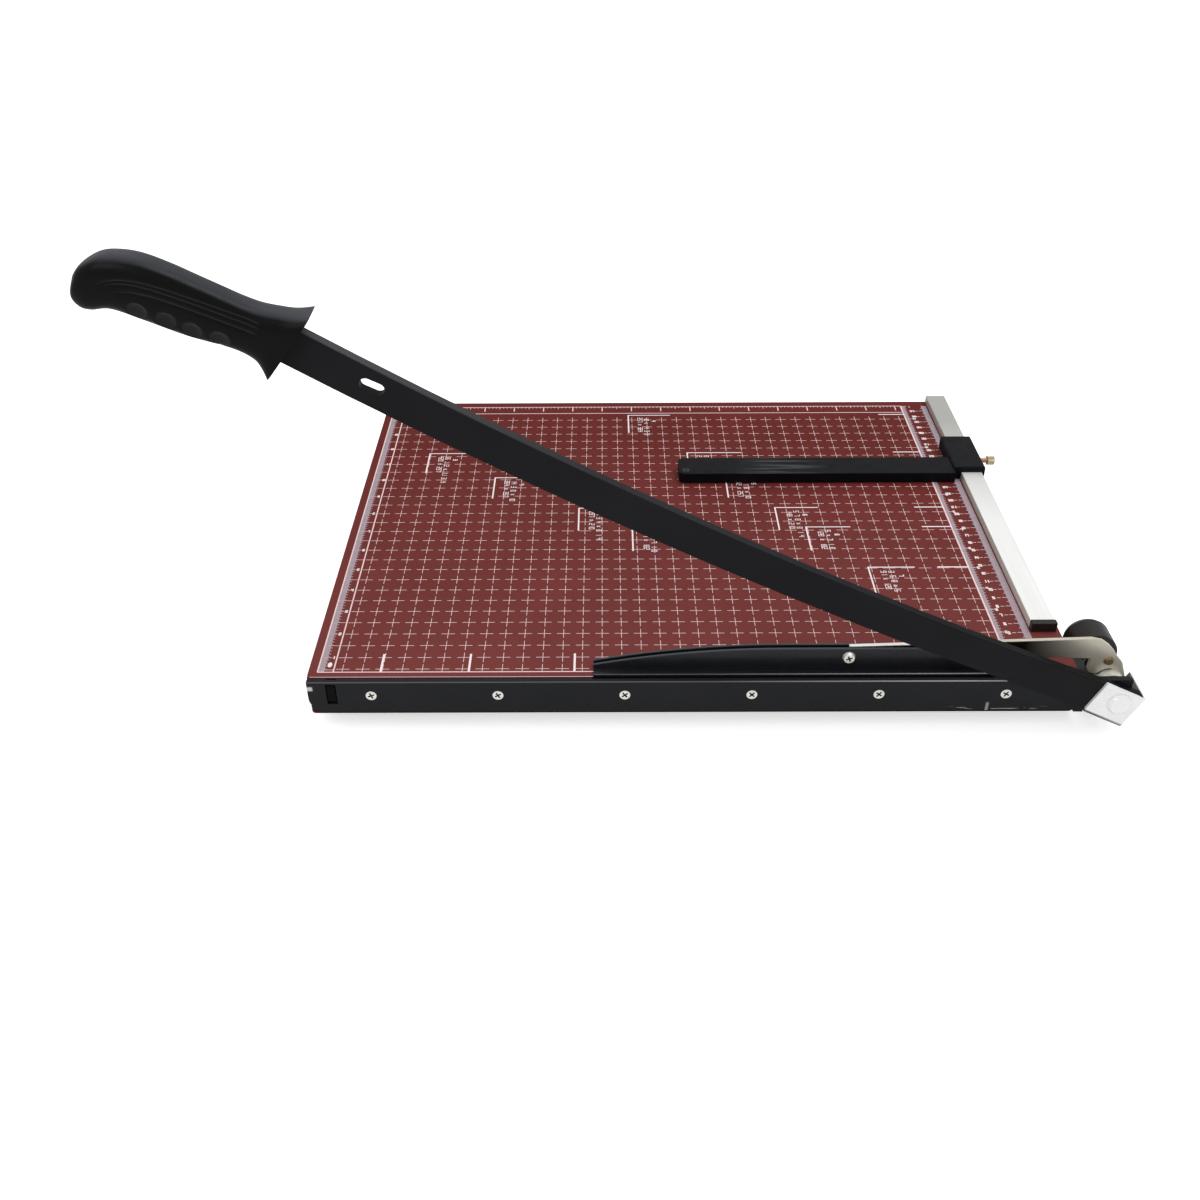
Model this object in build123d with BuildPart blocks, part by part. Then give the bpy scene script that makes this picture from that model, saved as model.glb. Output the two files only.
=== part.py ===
from build123d import *
import os
from math import cos, radians, sin, sqrt

os.makedirs("parts", exist_ok=True)

# Desk guillotine trimmer, modelled in the pose with the arm partly raised.
# Millimetres, +Z up, +X along the cutting edge towards the pivot, +Y from the operator to the back.
# All dimensions below are taken from three datums: x from the print datum beside the ruler bar,
# y from the cutting plane (outer face of the fixed blade), z from the printed top.

# ------------------------------------------------------------------ main sizes
BOARD_LEFT = -466.0
BOARD_RIGHT = 22.0
BOARD_BACK = 388.5
BOARD_THICK = 28.0
BOARD_CORNER = 3.0
BOARD_EDGE_ROUND = 1.0
SHEET_THICK = 0.8
SHEET_SET_BACK = 2.0     # bare strip of board in front of the printed sheet
FOOT_HEIGHT = 12.0

# position of the three datums in the model frame
DATUM_X = 243.0
CUT_Y = -186.0
TOP_Z = BOARD_THICK + FOOT_HEIGHT

# clearances
RUN = 0.05            # between faces and in bearings that run on each other
SLIDE = 0.1           # beside the ruler bar
LIFT = 0.4            # under the guide and the slider, above the printed top

# fixed blade
BLADE_THICK = 3.0
BLADE_HEIGHT = 23.9
BLADE_END_GAP = 0.5      # from the end of the board to the end of the fixed blade
BLADE_RIGHT = 53.5
BLADE_LOW_ROUND = 11.0
BLADE_TOP_ROUND = 1.5
BLADE_SCREW_FROM_LEFT = 40.5
BLADE_SCREW_FROM_RIGHT = 46.5
BLADE_SCREW_COUNT = 6
BLADE_SCREW_Z = -10.8

# pivot axis, parallel to Y
PIVOT_X = 44.0
PIVOT_Z = -12.0
SHOULDER_R = 5.0
THREAD_R = 4.0
BOLT_HEAD_R = 7.5
BOLT_HEAD_H = 2.5
BOLT_HEAD_DOME = 1.5
BOLT_END_Y = 57.0

# pivot stack behind the fixed blade
EAR_THICK = 5.0
SPACER_R = 9.5
LEVER_FRONT = 14.0
LEVER_THICK = 2.5
WASHER_R = 9.0
WASHER_THICK = 1.5
SPRING_R = 8.5
SPRING_BORE_R = 4.4
SPRING_LONG = 16.0
NUT_FLATS = 13.0
NUT_THICK = 6.5

# blade arm, in its own plane: u from the pivot to the handle, v up when the arm is closed
ARM_RAISED = 26.3
ARM_THICK = 6.5
ARM_TAIL_END = -12.1
ARM_BAR_END = 548.0
ARC_U = 252.7         # lowest place of the two long arcs, which share one centre
ARC_TOP_V = -0.3
ARC_TOP_R = 3426.5
ARM_DEEP = 21.2
TANG_COVER = 32.0        # handle beyond the end of the tang
TANG_TOP = 8.0
TANG_LOW = -6.0
ARM_SLOT_U = 495.2
ARM_SLOT_V = -1.7
ARM_SLOT_LONG = 14.0
ARM_SLOT_HIGH = 7.0

# tail plate
TAIL_THICK = 2.0
TAIL_U = 16.2
TAIL_TOP = 9.7
TAIL_LOW = -14.5
TAIL_BACK = 19.3
TAIL_BEND_R = 2.6
RIVET_R = 2.0
RIVET_SPOTS = [(12.6, 4.6), (12.6, -8.6)]

# handle, an outline of arcs that run into each other, in the plane of the arm
HANDLE_WIDE = 25.0
GRIP_ROUND = 6.0
GUARD_ROUND = 1.0
FLARE_LOW = (564.0, -14.0)
FLARE_TOP = (564.0, 16.2)
GRIP_ROOT = [(548.0, 17.5), (548.0, -15.5)]
GRIP_HEADING = (1.0, -0.06)
GRIP_NOSE = (650.4, -19.5)
GRIP_ARC_ENDS = [
    (626.2, -18.9), (637.5, -24.05), GRIP_NOSE, (647.7, -1.0), (637.5, 10.6), (617.0, 16.0), FLARE_TOP,
]
GUARD_TIP_TOP = (536.0, 26.6)
GUARD_TIP_LOW = (546.6, -24.0)
GUARD_MIDDLE = (539.4, 1.0)

# clamp lever outline (x, z)
LEVER_TOP = [
    (-123.8, 16.6), (27.4, 21.9), (34.0, 20.3), (39.3, 16.4), (43.5, 11.6), (46.3, 7.6),
    (50.2, 3.2), (54.2, -8.0),
]
LEVER_UNDER = [(PIVOT_X, PIVOT_Z), (28.9, -3.4), (29.5, 6.5), (9.8, 7.4), (-129.6, 2.9)]
LEVER_HEAD_R = 11.0
STUD_X = 41.1
STUD_Z = 4.7
STUD_R = 2.0
STUD_HEAD_R = 3.2
STUD_HEAD_H = 1.6

# clamp bar, a folded channel with a toe in front
BAR_LEFT = -285.0
BAR_RIGHT = -34.0
BAR_TOE_FRONT = 5.5
BAR_TOE_THICK = 1.5
BAR_WALL_FRONT = 12.2
BAR_WALL = 1.2
BAR_GROOVE = 3.1
BAR_HEIGHT = 16.3
BAR_NOSE_HEIGHT = 4.2
BAR_SWEEP_END = -165.0
CLAMP_SCREWS = [(-124.0, 9.7), (-55.0, 10.8)]
CLAMP_SCREW_HEAD_R = 4.2
CLAMP_SCREW_HEAD_H = 2.2
CLAMP_SCREW_R = 2.0

# ruler bar and its end cap
RULER_LEFT = 3.0
RULER_WIDE = 16.0
RULER_HIGH = 6.0
RULER_FRONT = 56.0
RULER_END_GAP = 0.5
RULER_CHAMFER = 0.4
RULER_SCREW_INSET = 19.0
CAP_LEFT = 2.8
CAP_RIGHT = 19.8
CAP_FRONT = 51.0
CAP_HIGH = 6.8
CAP_ROUND = 0.8
PEG_R = 1.5
PEG_LONG = 6.0

# slider and side guide
SLIDER_LEFT = -2.9
SLIDER_RIGHT = 21.2
SLIDER_FRONT = 252.9
SLIDER_BACK = 304.8
SLIDER_TOP = 10.6
SLIDER_CHAMFER = 0.9
GUIDE_LEFT = -219.0
GUIDE_FRONT = 247.5
GUIDE_BACK = 273.0
GUIDE_TOP = 8.5
GUIDE_CORNER = 5.0
GUIDE_DIMPLE_X = -213.5
GUIDE_DIMPLE_Y = 253.6
GUIDE_DIMPLE_R = 1.3
GUIDE_SCREWS = [(257.5, 4.2), (268.0, 4.2)]
THUMB_Y = 276.0
THUMB_Z = 3.8
THUMB_SHAFT_R = 2.0
THUMB_HEAD_R = 3.7
THUMB_HEAD_START = 28.5
THUMB_END = 34.5
PAD_THICK = 1.0

# pivot bracket
BRACKET_LEG_THICK = 6.0
BRACKET_LEG_BACK = 46.0
BRACKET_LOW = -28.0
BRACKET_TOP = -1.0
EAR_TOP = -3.0
BRACKET_EAR_RIGHT = 54.0
BRACKET_WEB = 4.0
BRACKET_SCREWS = [(24.0, -7.0), (39.0, -7.0), (31.5, -22.0)]

# arm lock hook
LOCK_FROM_END = 15.0
LOCK_SLOT_WIDE = 6.5
LOCK_SLOT_TOP = -2.0
LOCK_SLOT_LOW = -17.5
LOCK_WIDE = 5.0
LOCK_PIN_R = 1.0
LOCK_PIN_LONG = 12.5
LOCK_PIN_Y = 1.8
LOCK_PIN_Z = -15.0
LOCK_STEM_FRONT = 0.3
LOCK_TOP = -3.2
LOCK_TIP_BACK = 7.0
LOCK_TIP_HIGH = 2.6
POCKET_BACK = 11.0
POCKET_LOW = -19.0

# knob on the end of the pivot bolt
CAP_R = 15.3
CAP_LONG = 23.0
CAP_EDGE_ROUND = 5.0

# feet
FOOT_SPOTS = [(-438.0, 34.0), (-6.0, 34.0), (-438.0, 360.0), (-6.0, 360.0)]
FOOT_TOP_R = 13.0
FOOT_LOW_R = 11.0
FOOT_RECESS_R = 5.0
FOOT_RECESS_DEEP = 5.0

# countersunk cross-head screws: head radius, shank radius, head height, total length
BLADE_SCREW = (3.65, 2.0, 1.9, 22.0)
BRACKET_SCREW = (4.0, 2.25, 2.2, 30.0)
GUIDE_SCREW = (2.4, 1.25, 1.2, 12.0)
PAN_HEAD_R = 4.0
PAN_HEAD_H = 2.4
RULER_SCREW_R = 2.0
RULER_SCREW_SINK = 6.0
RULER_SCREW_UP = 4.0     # how far the screw reaches into the ruler bar
FOOT_SCREW_R = 2.0
FOOT_SCREW_LONG = 20.0

# ------------------------------------------------------------------ derived places
BOARD_FRONT = BLADE_THICK
BLADE_LEFT = BOARD_LEFT + BLADE_END_GAP
LOCK_X = BLADE_LEFT + LOCK_FROM_END
BOARD_LOW = -BOARD_THICK
SHEET_FRONT = BOARD_FRONT + SHEET_SET_BACK
EAR_BACK = BLADE_THICK + EAR_THICK
SPACER_BACK = LEVER_FRONT - RUN
LEVER_BACK = LEVER_FRONT + LEVER_THICK
WASHER_FRONT = LEVER_BACK + RUN
SPRING_FRONT = WASHER_FRONT + WASHER_THICK
SPRING_BACK = SPRING_FRONT + SPRING_LONG
NUT_FRONT = SPRING_BACK + WASHER_THICK
NUT_BACK = NUT_FRONT + NUT_THICK
CAP_BACK = NUT_BACK + CAP_LONG
ARM_BACK = -RUN
ARM_FRONT = ARM_BACK - ARM_THICK
ARC_V = ARC_TOP_V + ARC_TOP_R
ARC_LOW_R = ARC_TOP_R + ARM_DEEP
TANG_END = GRIP_NOSE[0] - TANG_COVER
TAIL_FRONT = ARM_FRONT - TAIL_THICK
TAIL_END = ARM_TAIL_END - TAIL_THICK
HEAD_BACK = TAIL_FRONT - RUN
HEAD_FRONT = HEAD_BACK - BOLT_HEAD_H
HANDLE_FRONT = (ARM_FRONT + ARM_BACK - HANDLE_WIDE) / 2
LOCK_STEM_THICK = 2 * (LOCK_PIN_Y - LOCK_STEM_FRONT)
BAR_GROOVE_FRONT = BAR_WALL_FRONT + BAR_WALL
BAR_GROOVE_BACK = BAR_GROOVE_FRONT + BAR_GROOVE
BAR_BACK = BAR_GROOVE_BACK + BAR_WALL
BAR_SWEEP_DROP = BAR_HEIGHT - BAR_NOSE_HEIGHT
BAR_SWEEP_RUN = BAR_SWEEP_END - BAR_LEFT
BAR_SWEEP_R = (BAR_SWEEP_RUN ** 2 + BAR_SWEEP_DROP ** 2) / (2 * BAR_SWEEP_DROP)
RULER_RIGHT = RULER_LEFT + RULER_WIDE
SLIDER_INNER_LEFT = RULER_LEFT - SLIDE
SLIDER_INNER_RIGHT = RULER_RIGHT + SLIDE
SLIDER_ROOF = RULER_HIGH + RUN
PAD_LEFT = RULER_RIGHT + RUN
PAD_RIGHT = PAD_LEFT + PAD_THICK
BLADE_SCREW_FIRST = BOARD_LEFT + BLADE_SCREW_FROM_LEFT
BLADE_SCREW_LAST = BOARD_RIGHT - BLADE_SCREW_FROM_RIGHT
BLADE_SCREW_PITCH = (BLADE_SCREW_LAST - BLADE_SCREW_FIRST) / (BLADE_SCREW_COUNT - 1)
BLADE_SCREWS = [(BLADE_SCREW_FIRST + i * BLADE_SCREW_PITCH, BLADE_SCREW_Z) for i in range(BLADE_SCREW_COUNT)]
RULER_SCREW_X = (RULER_LEFT + RULER_RIGHT) / 2
RULER_BACK = BOARD_BACK - RULER_END_GAP
RULER_SCREW_YS = [RULER_FRONT + RULER_SCREW_INSET, (RULER_FRONT + RULER_BACK) / 2, RULER_BACK - RULER_SCREW_INSET]
RULER_SCREWS = [(RULER_SCREW_X, y) for y in RULER_SCREW_YS]
HANG = (Align.CENTER, Align.CENTER, Align.MAX)
STAND = (Align.CENTER, Align.CENTER, Align.MIN)
PIVOT_AXIS = Axis((DATUM_X + PIVOT_X, CUT_Y, TOP_Z + PIVOT_Z), (0, 1, 0))


# ------------------------------------------------------------------ planes and repeated shapes
def front(y):
    """Upright plane at depth y, facing the operator; its axes are x and z from the datums."""
    return Plane(origin=(DATUM_X, CUT_Y + y, TOP_Z), x_dir=(1, 0, 0), z_dir=(0, -1, 0))


def level(z):
    """Level plane at height z; its axes are x and y from the datums."""
    return Plane(origin=(DATUM_X, CUT_Y, TOP_Z + z))


def underneath(z):
    """Level plane at height z, facing down; its axes are x and minus y from the datums."""
    return Plane(origin=(DATUM_X, CUT_Y, TOP_Z + z), x_dir=(1, 0, 0), z_dir=(0, 0, -1))


def side(x):
    """Upright plane at x, facing the pivot end; its axes are y and z from the datums."""
    return Plane(origin=(DATUM_X + x, CUT_Y, TOP_Z), x_dir=(0, 1, 0), z_dir=(1, 0, 0))


def axial():
    """Plane through the pivot axis; its axes are y and the distance from the axis."""
    return Plane(origin=(DATUM_X + PIVOT_X, CUT_Y, TOP_Z + PIVOT_Z), x_dir=(0, 1, 0), z_dir=(1, 0, 0))


def across_pivot(y):
    """Plane square to the pivot axis at depth y, with the pivot as its origin."""
    return Plane(origin=(DATUM_X + PIVOT_X, CUT_Y + y, TOP_Z + PIVOT_Z), x_dir=(1, 0, 0), z_dir=(0, -1, 0))


def arm_plane(y):
    """Plane of the raised arm at depth y; its axes are u and v, its normal points to the back."""
    tilt = radians(ARM_RAISED)
    origin = (DATUM_X + PIVOT_X, CUT_Y + y, TOP_Z + PIVOT_Z)
    return Plane(origin=origin, x_dir=(-cos(tilt), 0, sin(tilt)), z_dir=(0, 1, 0))


def arm_edge(u, radius):
    """Height v of one long arc of the arm at u."""
    return ARC_V - sqrt(radius ** 2 - (u - ARC_U) ** 2)


def on(plane, spots, depth=0.0):
    """Global places of flat spots on a plane, sunk below it by depth."""
    return [plane.location * Location((a, b, -depth)) for a, b in spots]


def flat_screws(plane, spots, sizes, mode=Mode.ADD):
    """Countersunk screws, heads flush with the plane."""
    head_r, shank_r, head_h, long = sizes
    with Locations(*on(plane, spots)):
        Cone(shank_r, head_r, head_h, align=HANG, mode=mode)
    with Locations(*on(plane, spots, head_h)):
        Cylinder(shank_r, long - head_h, align=HANG, mode=mode)


def mirrored(spots):
    """Spots on a plane whose first or second axis runs the other way: (x, y) to (x, -y)."""
    return [(a, -b) for a, b in spots]


# ------------------------------------------------------------------ base board and printed sheet
with BuildPart() as base_board:
    with BuildSketch(level(BOARD_LOW)):
        with Locations(((BOARD_LEFT + BOARD_RIGHT) / 2, (BOARD_FRONT + BOARD_BACK) / 2)):
            RectangleRounded(BOARD_RIGHT - BOARD_LEFT, BOARD_BACK - BOARD_FRONT, BOARD_CORNER)
    extrude(amount=BOARD_THICK - SHEET_THICK)
    fillet(base_board.faces().sort_by(Axis.Z)[0].edges(), BOARD_EDGE_ROUND)
    # pocket behind the lock slot
    with BuildSketch(level(-SHEET_THICK)):
        with Locations((LOCK_X, (BOARD_FRONT + POCKET_BACK) / 2)):
            Rectangle(LOCK_SLOT_WIDE, POCKET_BACK - BOARD_FRONT)
    extrude(amount=POCKET_LOW + SHEET_THICK, mode=Mode.SUBTRACT)
    flat_screws(front(0), BLADE_SCREWS, BLADE_SCREW, mode=Mode.SUBTRACT)
    flat_screws(side(BOARD_RIGHT + BRACKET_LEG_THICK), BRACKET_SCREWS, BRACKET_SCREW, mode=Mode.SUBTRACT)
    # bores for the ruler bar screws, from below
    with Locations(*on(underneath(BOARD_LOW), mirrored(RULER_SCREWS))):
        Cylinder(PAN_HEAD_R + SLIDE, RULER_SCREW_SINK, align=HANG, mode=Mode.SUBTRACT)
        Cylinder(RULER_SCREW_R, BOARD_THICK, align=HANG, mode=Mode.SUBTRACT)
    with Locations(*on(underneath(BOARD_LOW), mirrored(FOOT_SPOTS))):
        Cylinder(FOOT_SCREW_R, FOOT_SCREW_LONG - FOOT_HEIGHT + FOOT_RECESS_DEEP, align=HANG, mode=Mode.SUBTRACT)

with BuildPart() as top_sheet:
    with BuildSketch(level(-SHEET_THICK)):
        with Locations(((BOARD_LEFT + BOARD_RIGHT) / 2, (SHEET_FRONT + BOARD_BACK) / 2)):
            RectangleRounded(BOARD_RIGHT - BOARD_LEFT, BOARD_BACK - SHEET_FRONT, BOARD_CORNER)
        with Locations(*RULER_SCREWS):
            Circle(RULER_SCREW_R, mode=Mode.SUBTRACT)
    extrude(amount=SHEET_THICK)

# ------------------------------------------------------------------ feet
with BuildPart() as rubber_feet:
    with Locations(*on(underneath(BOARD_LOW), mirrored(FOOT_SPOTS))):
        Cone(FOOT_TOP_R, FOOT_LOW_R, FOOT_HEIGHT, align=STAND)
    with Locations(*on(underneath(BOARD_LOW - FOOT_HEIGHT), mirrored(FOOT_SPOTS))):
        Cylinder(FOOT_RECESS_R, FOOT_RECESS_DEEP, align=HANG, mode=Mode.SUBTRACT)
        Cylinder(FOOT_SCREW_R, FOOT_HEIGHT, align=HANG, mode=Mode.SUBTRACT)

with BuildPart() as foot_screws:
    with Locations(*on(underneath(BOARD_LOW - FOOT_HEIGHT), mirrored(FOOT_SPOTS), FOOT_RECESS_DEEP)):
        Cylinder(FOOT_SCREW_R, FOOT_SCREW_LONG, align=HANG)
        Cylinder(PAN_HEAD_R, PAN_HEAD_H, align=STAND)

# ------------------------------------------------------------------ fixed blade
with BuildPart() as fixed_blade:
    with BuildSketch(front(BLADE_THICK)):
        with Locations(((BLADE_LEFT + BLADE_RIGHT) / 2, -BLADE_HEIGHT / 2)):
            blade_face = Rectangle(BLADE_RIGHT - BLADE_LEFT, BLADE_HEIGHT)
        corners = blade_face.vertices().sort_by(Axis.Y)
        fillet(corners[0:2], BLADE_LOW_ROUND)
        fillet(corners[2:4], BLADE_TOP_ROUND)
    extrude(amount=BLADE_THICK)
    with BuildSketch(front(BLADE_THICK)):
        with Locations((LOCK_X, (LOCK_SLOT_TOP + LOCK_SLOT_LOW) / 2)):
            Rectangle(LOCK_SLOT_WIDE, LOCK_SLOT_TOP - LOCK_SLOT_LOW)
        with Locations((PIVOT_X, PIVOT_Z)):
            Circle(SHOULDER_R)
    extrude(amount=BLADE_THICK, mode=Mode.SUBTRACT)
    flat_screws(front(0), BLADE_SCREWS, BLADE_SCREW, mode=Mode.SUBTRACT)
    with Locations(*on(side(LOCK_X + LOCK_PIN_LONG / 2), [(LOCK_PIN_Y, LOCK_PIN_Z)])):
        Cylinder(LOCK_PIN_R, LOCK_PIN_LONG, align=HANG, mode=Mode.SUBTRACT)

with BuildPart() as blade_screws:
    flat_screws(front(0), BLADE_SCREWS, BLADE_SCREW)

# ------------------------------------------------------------------ arm lock
with BuildPart() as lock_pin:
    with Locations(*on(side(LOCK_X + LOCK_PIN_LONG / 2), [(LOCK_PIN_Y, LOCK_PIN_Z)])):
        Cylinder(LOCK_PIN_R, LOCK_PIN_LONG, align=HANG)

with BuildPart() as arm_lock:
    with BuildSketch(side(LOCK_X - LOCK_WIDE / 2)):
        with Locations((LOCK_STEM_FRONT, LOCK_PIN_Z)):
            Rectangle(LOCK_STEM_THICK, LOCK_TOP - LOCK_PIN_Z, align=(Align.MIN, Align.MIN))
        with Locations((LOCK_STEM_FRONT, LOCK_TOP)):
            Rectangle(LOCK_TIP_BACK - LOCK_STEM_FRONT, LOCK_TIP_HIGH, align=(Align.MIN, Align.MAX))
        with Locations((LOCK_PIN_Y, LOCK_PIN_Z)):
            Circle(LOCK_PIN_Y - LOCK_STEM_FRONT)
            Circle(LOCK_PIN_R + RUN, mode=Mode.SUBTRACT)
    extrude(amount=LOCK_WIDE)

# ------------------------------------------------------------------ pivot bracket
with BuildPart() as pivot_bracket:
    with BuildSketch(front(EAR_BACK)):
        with BuildLine():
            ear_low = -BLADE_HEIGHT
            bend_x = BRACKET_EAR_RIGHT - BLADE_LOW_ROUND
            Polyline(
                (bend_x, ear_low), (BOARD_RIGHT, ear_low), (BOARD_RIGHT, EAR_TOP),
                (BRACKET_EAR_RIGHT, EAR_TOP), (BRACKET_EAR_RIGHT, ear_low + BLADE_LOW_ROUND),
            )
            RadiusArc((BRACKET_EAR_RIGHT, ear_low + BLADE_LOW_ROUND), (bend_x, ear_low), BLADE_LOW_ROUND)
        make_face()
    extrude(amount=EAR_THICK)
    with BuildSketch(side(BOARD_RIGHT)):
        with BuildLine():
            Polyline(
                (BOARD_FRONT, BRACKET_TOP), (BRACKET_LEG_BACK - BLADE_LOW_ROUND, BRACKET_TOP),
                (BRACKET_LEG_BACK, BRACKET_TOP - BLADE_LOW_ROUND), (BRACKET_LEG_BACK, BRACKET_LOW),
                (BOARD_FRONT, BRACKET_LOW), close=True,
            )
        make_face()
    extrude(amount=BRACKET_LEG_THICK)
    # web in the inner corner
    with BuildSketch(level(EAR_TOP)):
        with Locations((BOARD_RIGHT + BRACKET_LEG_THICK, EAR_BACK)):
            Triangle(a=BRACKET_WEB, b=BRACKET_WEB, C=90, align=(Align.MIN, Align.MIN))
    extrude(amount=-(BLADE_HEIGHT + EAR_TOP))
    with Locations(*on(across_pivot(BLADE_THICK), [(0, 0)])):
        Cylinder(SHOULDER_R, EAR_THICK, align=HANG, mode=Mode.SUBTRACT)
    flat_screws(side(BOARD_RIGHT + BRACKET_LEG_THICK), BRACKET_SCREWS, BRACKET_SCREW, mode=Mode.SUBTRACT)

with BuildPart() as bracket_screws:
    flat_screws(side(BOARD_RIGHT + BRACKET_LEG_THICK), BRACKET_SCREWS, BRACKET_SCREW)

# ------------------------------------------------------------------ pivot stack
with BuildPart() as pivot_bolt:
    with BuildSketch(axial()):
        with BuildLine():
            head_rim = HEAD_FRONT + BOLT_HEAD_DOME
            Polyline(
                (HEAD_FRONT, 0), (HEAD_FRONT, BOLT_HEAD_R - BOLT_HEAD_DOME),
                (head_rim, BOLT_HEAD_R), (HEAD_BACK, BOLT_HEAD_R), (HEAD_BACK, SHOULDER_R),
                (LEVER_BACK, SHOULDER_R), (LEVER_BACK, THREAD_R), (BOLT_END_Y, THREAD_R),
                (BOLT_END_Y, 0), (HEAD_FRONT, 0),
            )
        make_face()
    revolve(axis=PIVOT_AXIS)

with BuildPart() as pivot_spacer:
    with BuildSketch(across_pivot(SPACER_BACK)):
        Circle(SPACER_R)
        Circle(SHOULDER_R, mode=Mode.SUBTRACT)
    extrude(amount=SPACER_BACK - EAR_BACK)

with BuildPart() as pivot_washers:
    for washer_front in (WASHER_FRONT, SPRING_BACK):
        with BuildSketch(across_pivot(washer_front + WASHER_THICK)):
            Circle(WASHER_R)
            Circle(THREAD_R, mode=Mode.SUBTRACT)
        extrude(amount=WASHER_THICK)

# sleeve of elastomer that keeps the arm pressed against the fixed blade
with BuildPart() as pivot_spring:
    with BuildSketch(across_pivot(SPRING_BACK)):
        Circle(SPRING_R)
        Circle(SPRING_BORE_R, mode=Mode.SUBTRACT)
    extrude(amount=SPRING_LONG)

with BuildPart() as pivot_nut:
    with BuildSketch(across_pivot(NUT_BACK)):
        RegularPolygon(NUT_FLATS / 2, 6, major_radius=False)
        Circle(THREAD_R, mode=Mode.SUBTRACT)
    extrude(amount=NUT_THICK)

with BuildPart() as spring_cap:
    with BuildSketch(axial()):
        with BuildLine():
            edge_slant = CAP_EDGE_ROUND / 3
            Polyline(
                (NUT_BACK, CAP_R), (NUT_BACK, THREAD_R), (BOLT_END_Y, THREAD_R), (BOLT_END_Y, 0),
                (CAP_BACK, 0), (CAP_BACK, CAP_R - CAP_EDGE_ROUND),
                (CAP_BACK - edge_slant, CAP_R - edge_slant),
                (CAP_BACK - CAP_EDGE_ROUND, CAP_R), close=True,
            )
        make_face()
    revolve(axis=PIVOT_AXIS)

# ------------------------------------------------------------------ blade arm
with BuildPart() as blade_arm:
    with BuildSketch(arm_plane(ARM_FRONT)):
        with BuildLine():
            top_start = (ARM_TAIL_END, arm_edge(ARM_TAIL_END, ARC_TOP_R))
            top_end = (ARM_BAR_END, arm_edge(ARM_BAR_END, ARC_TOP_R))
            low_start = (ARM_TAIL_END, arm_edge(ARM_TAIL_END, ARC_LOW_R))
            low_end = (ARM_BAR_END, arm_edge(ARM_BAR_END, ARC_LOW_R))
            ThreePointArc(top_start, (ARC_U, ARC_V - ARC_TOP_R), top_end)
            Polyline(
                top_end, (ARM_BAR_END, TANG_TOP), (TANG_END, TANG_TOP), (TANG_END, TANG_LOW),
                (ARM_BAR_END, TANG_LOW), low_end,
            )
            ThreePointArc(low_end, (ARC_U, ARC_V - ARC_LOW_R), low_start)
            Line(low_start, top_start)
        make_face()
        Circle(SHOULDER_R + RUN, mode=Mode.SUBTRACT)
        with Locations((ARM_SLOT_U, ARM_SLOT_V)):
            SlotOverall(ARM_SLOT_LONG, ARM_SLOT_HIGH, mode=Mode.SUBTRACT)
        with Locations(*RIVET_SPOTS):
            Circle(RIVET_R, mode=Mode.SUBTRACT)
    extrude(amount=ARM_THICK)

# ------------------------------------------------------------------ tail plate, bent round the arm's end
with BuildPart() as tail_plate:
    with BuildSketch(arm_plane(TAIL_FRONT)):
        with Locations((TAIL_END, TAIL_LOW)):
            Rectangle(TAIL_U - TAIL_END, TAIL_TOP - TAIL_LOW, align=(Align.MIN, Align.MIN))
    extrude(amount=TAIL_THICK)
    with BuildSketch(arm_plane(TAIL_FRONT)):
        with Locations((TAIL_END, TAIL_LOW)):
            Rectangle(TAIL_THICK, TAIL_TOP - TAIL_LOW, align=(Align.MIN, Align.MIN))
    extrude(amount=TAIL_BACK - TAIL_FRONT)
    bend = tail_plate.edges().filter_by(lambda e: e.length > TAIL_TOP - TAIL_LOW - RUN)
    outer_bend = bend.filter_by(
        lambda e: abs(arm_plane(TAIL_FRONT).to_local_coords(e.center()).X - TAIL_END) < RUN
        and abs(arm_plane(TAIL_FRONT).to_local_coords(e.center()).Z) < RUN
    )
    fillet(outer_bend, TAIL_BEND_R)
    with BuildSketch(arm_plane(TAIL_FRONT)):
        Circle(SHOULDER_R + RUN)
        with Locations(*RIVET_SPOTS):
            Circle(RIVET_R)
    extrude(amount=TAIL_THICK, mode=Mode.SUBTRACT)

with BuildPart() as tail_rivets:
    with Locations(*on(arm_plane(ARM_BACK), RIVET_SPOTS)):
        Cylinder(RIVET_R, ARM_BACK - TAIL_FRONT, align=HANG)

# ------------------------------------------------------------------ handle
with BuildPart() as handle:
    with BuildSketch(arm_plane(HANDLE_FRONT)):
        with BuildLine():
            Polyline(FLARE_TOP, *GRIP_ROOT, FLARE_LOW)
            arc_start = FLARE_LOW
            heading = GRIP_HEADING
            for arc_end in GRIP_ARC_ENDS:
                arc = TangentArc(arc_start, arc_end, tangent=heading)
                arc_start = arc_end
                heading = arc % 1
        make_face()
    extrude(amount=HANDLE_WIDE)
    grip_sides = handle.faces().sort_by(Axis.Y)
    fillet(grip_sides[0].edges() + grip_sides[-1].edges(), GRIP_ROUND)
    # guard, flared out of the grip
    with BuildSketch(arm_plane(HANDLE_FRONT)):
        with BuildLine():
            TangentArc(FLARE_TOP, GUARD_TIP_TOP, tangent=heading)
            ThreePointArc(GUARD_TIP_TOP, GUARD_MIDDLE, GUARD_TIP_LOW)
            TangentArc(FLARE_LOW, GUARD_TIP_LOW, tangent=(-GRIP_HEADING[0], -GRIP_HEADING[1]))
            Line(FLARE_LOW, FLARE_TOP)
        guard_face = make_face()
        guard_tips = guard_face.vertices().sort_by(Axis.X)[0:2]
        fillet(guard_tips, GUARD_ROUND)
    extrude(amount=HANDLE_WIDE)
    add(blade_arm.part, mode=Mode.SUBTRACT)

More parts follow.
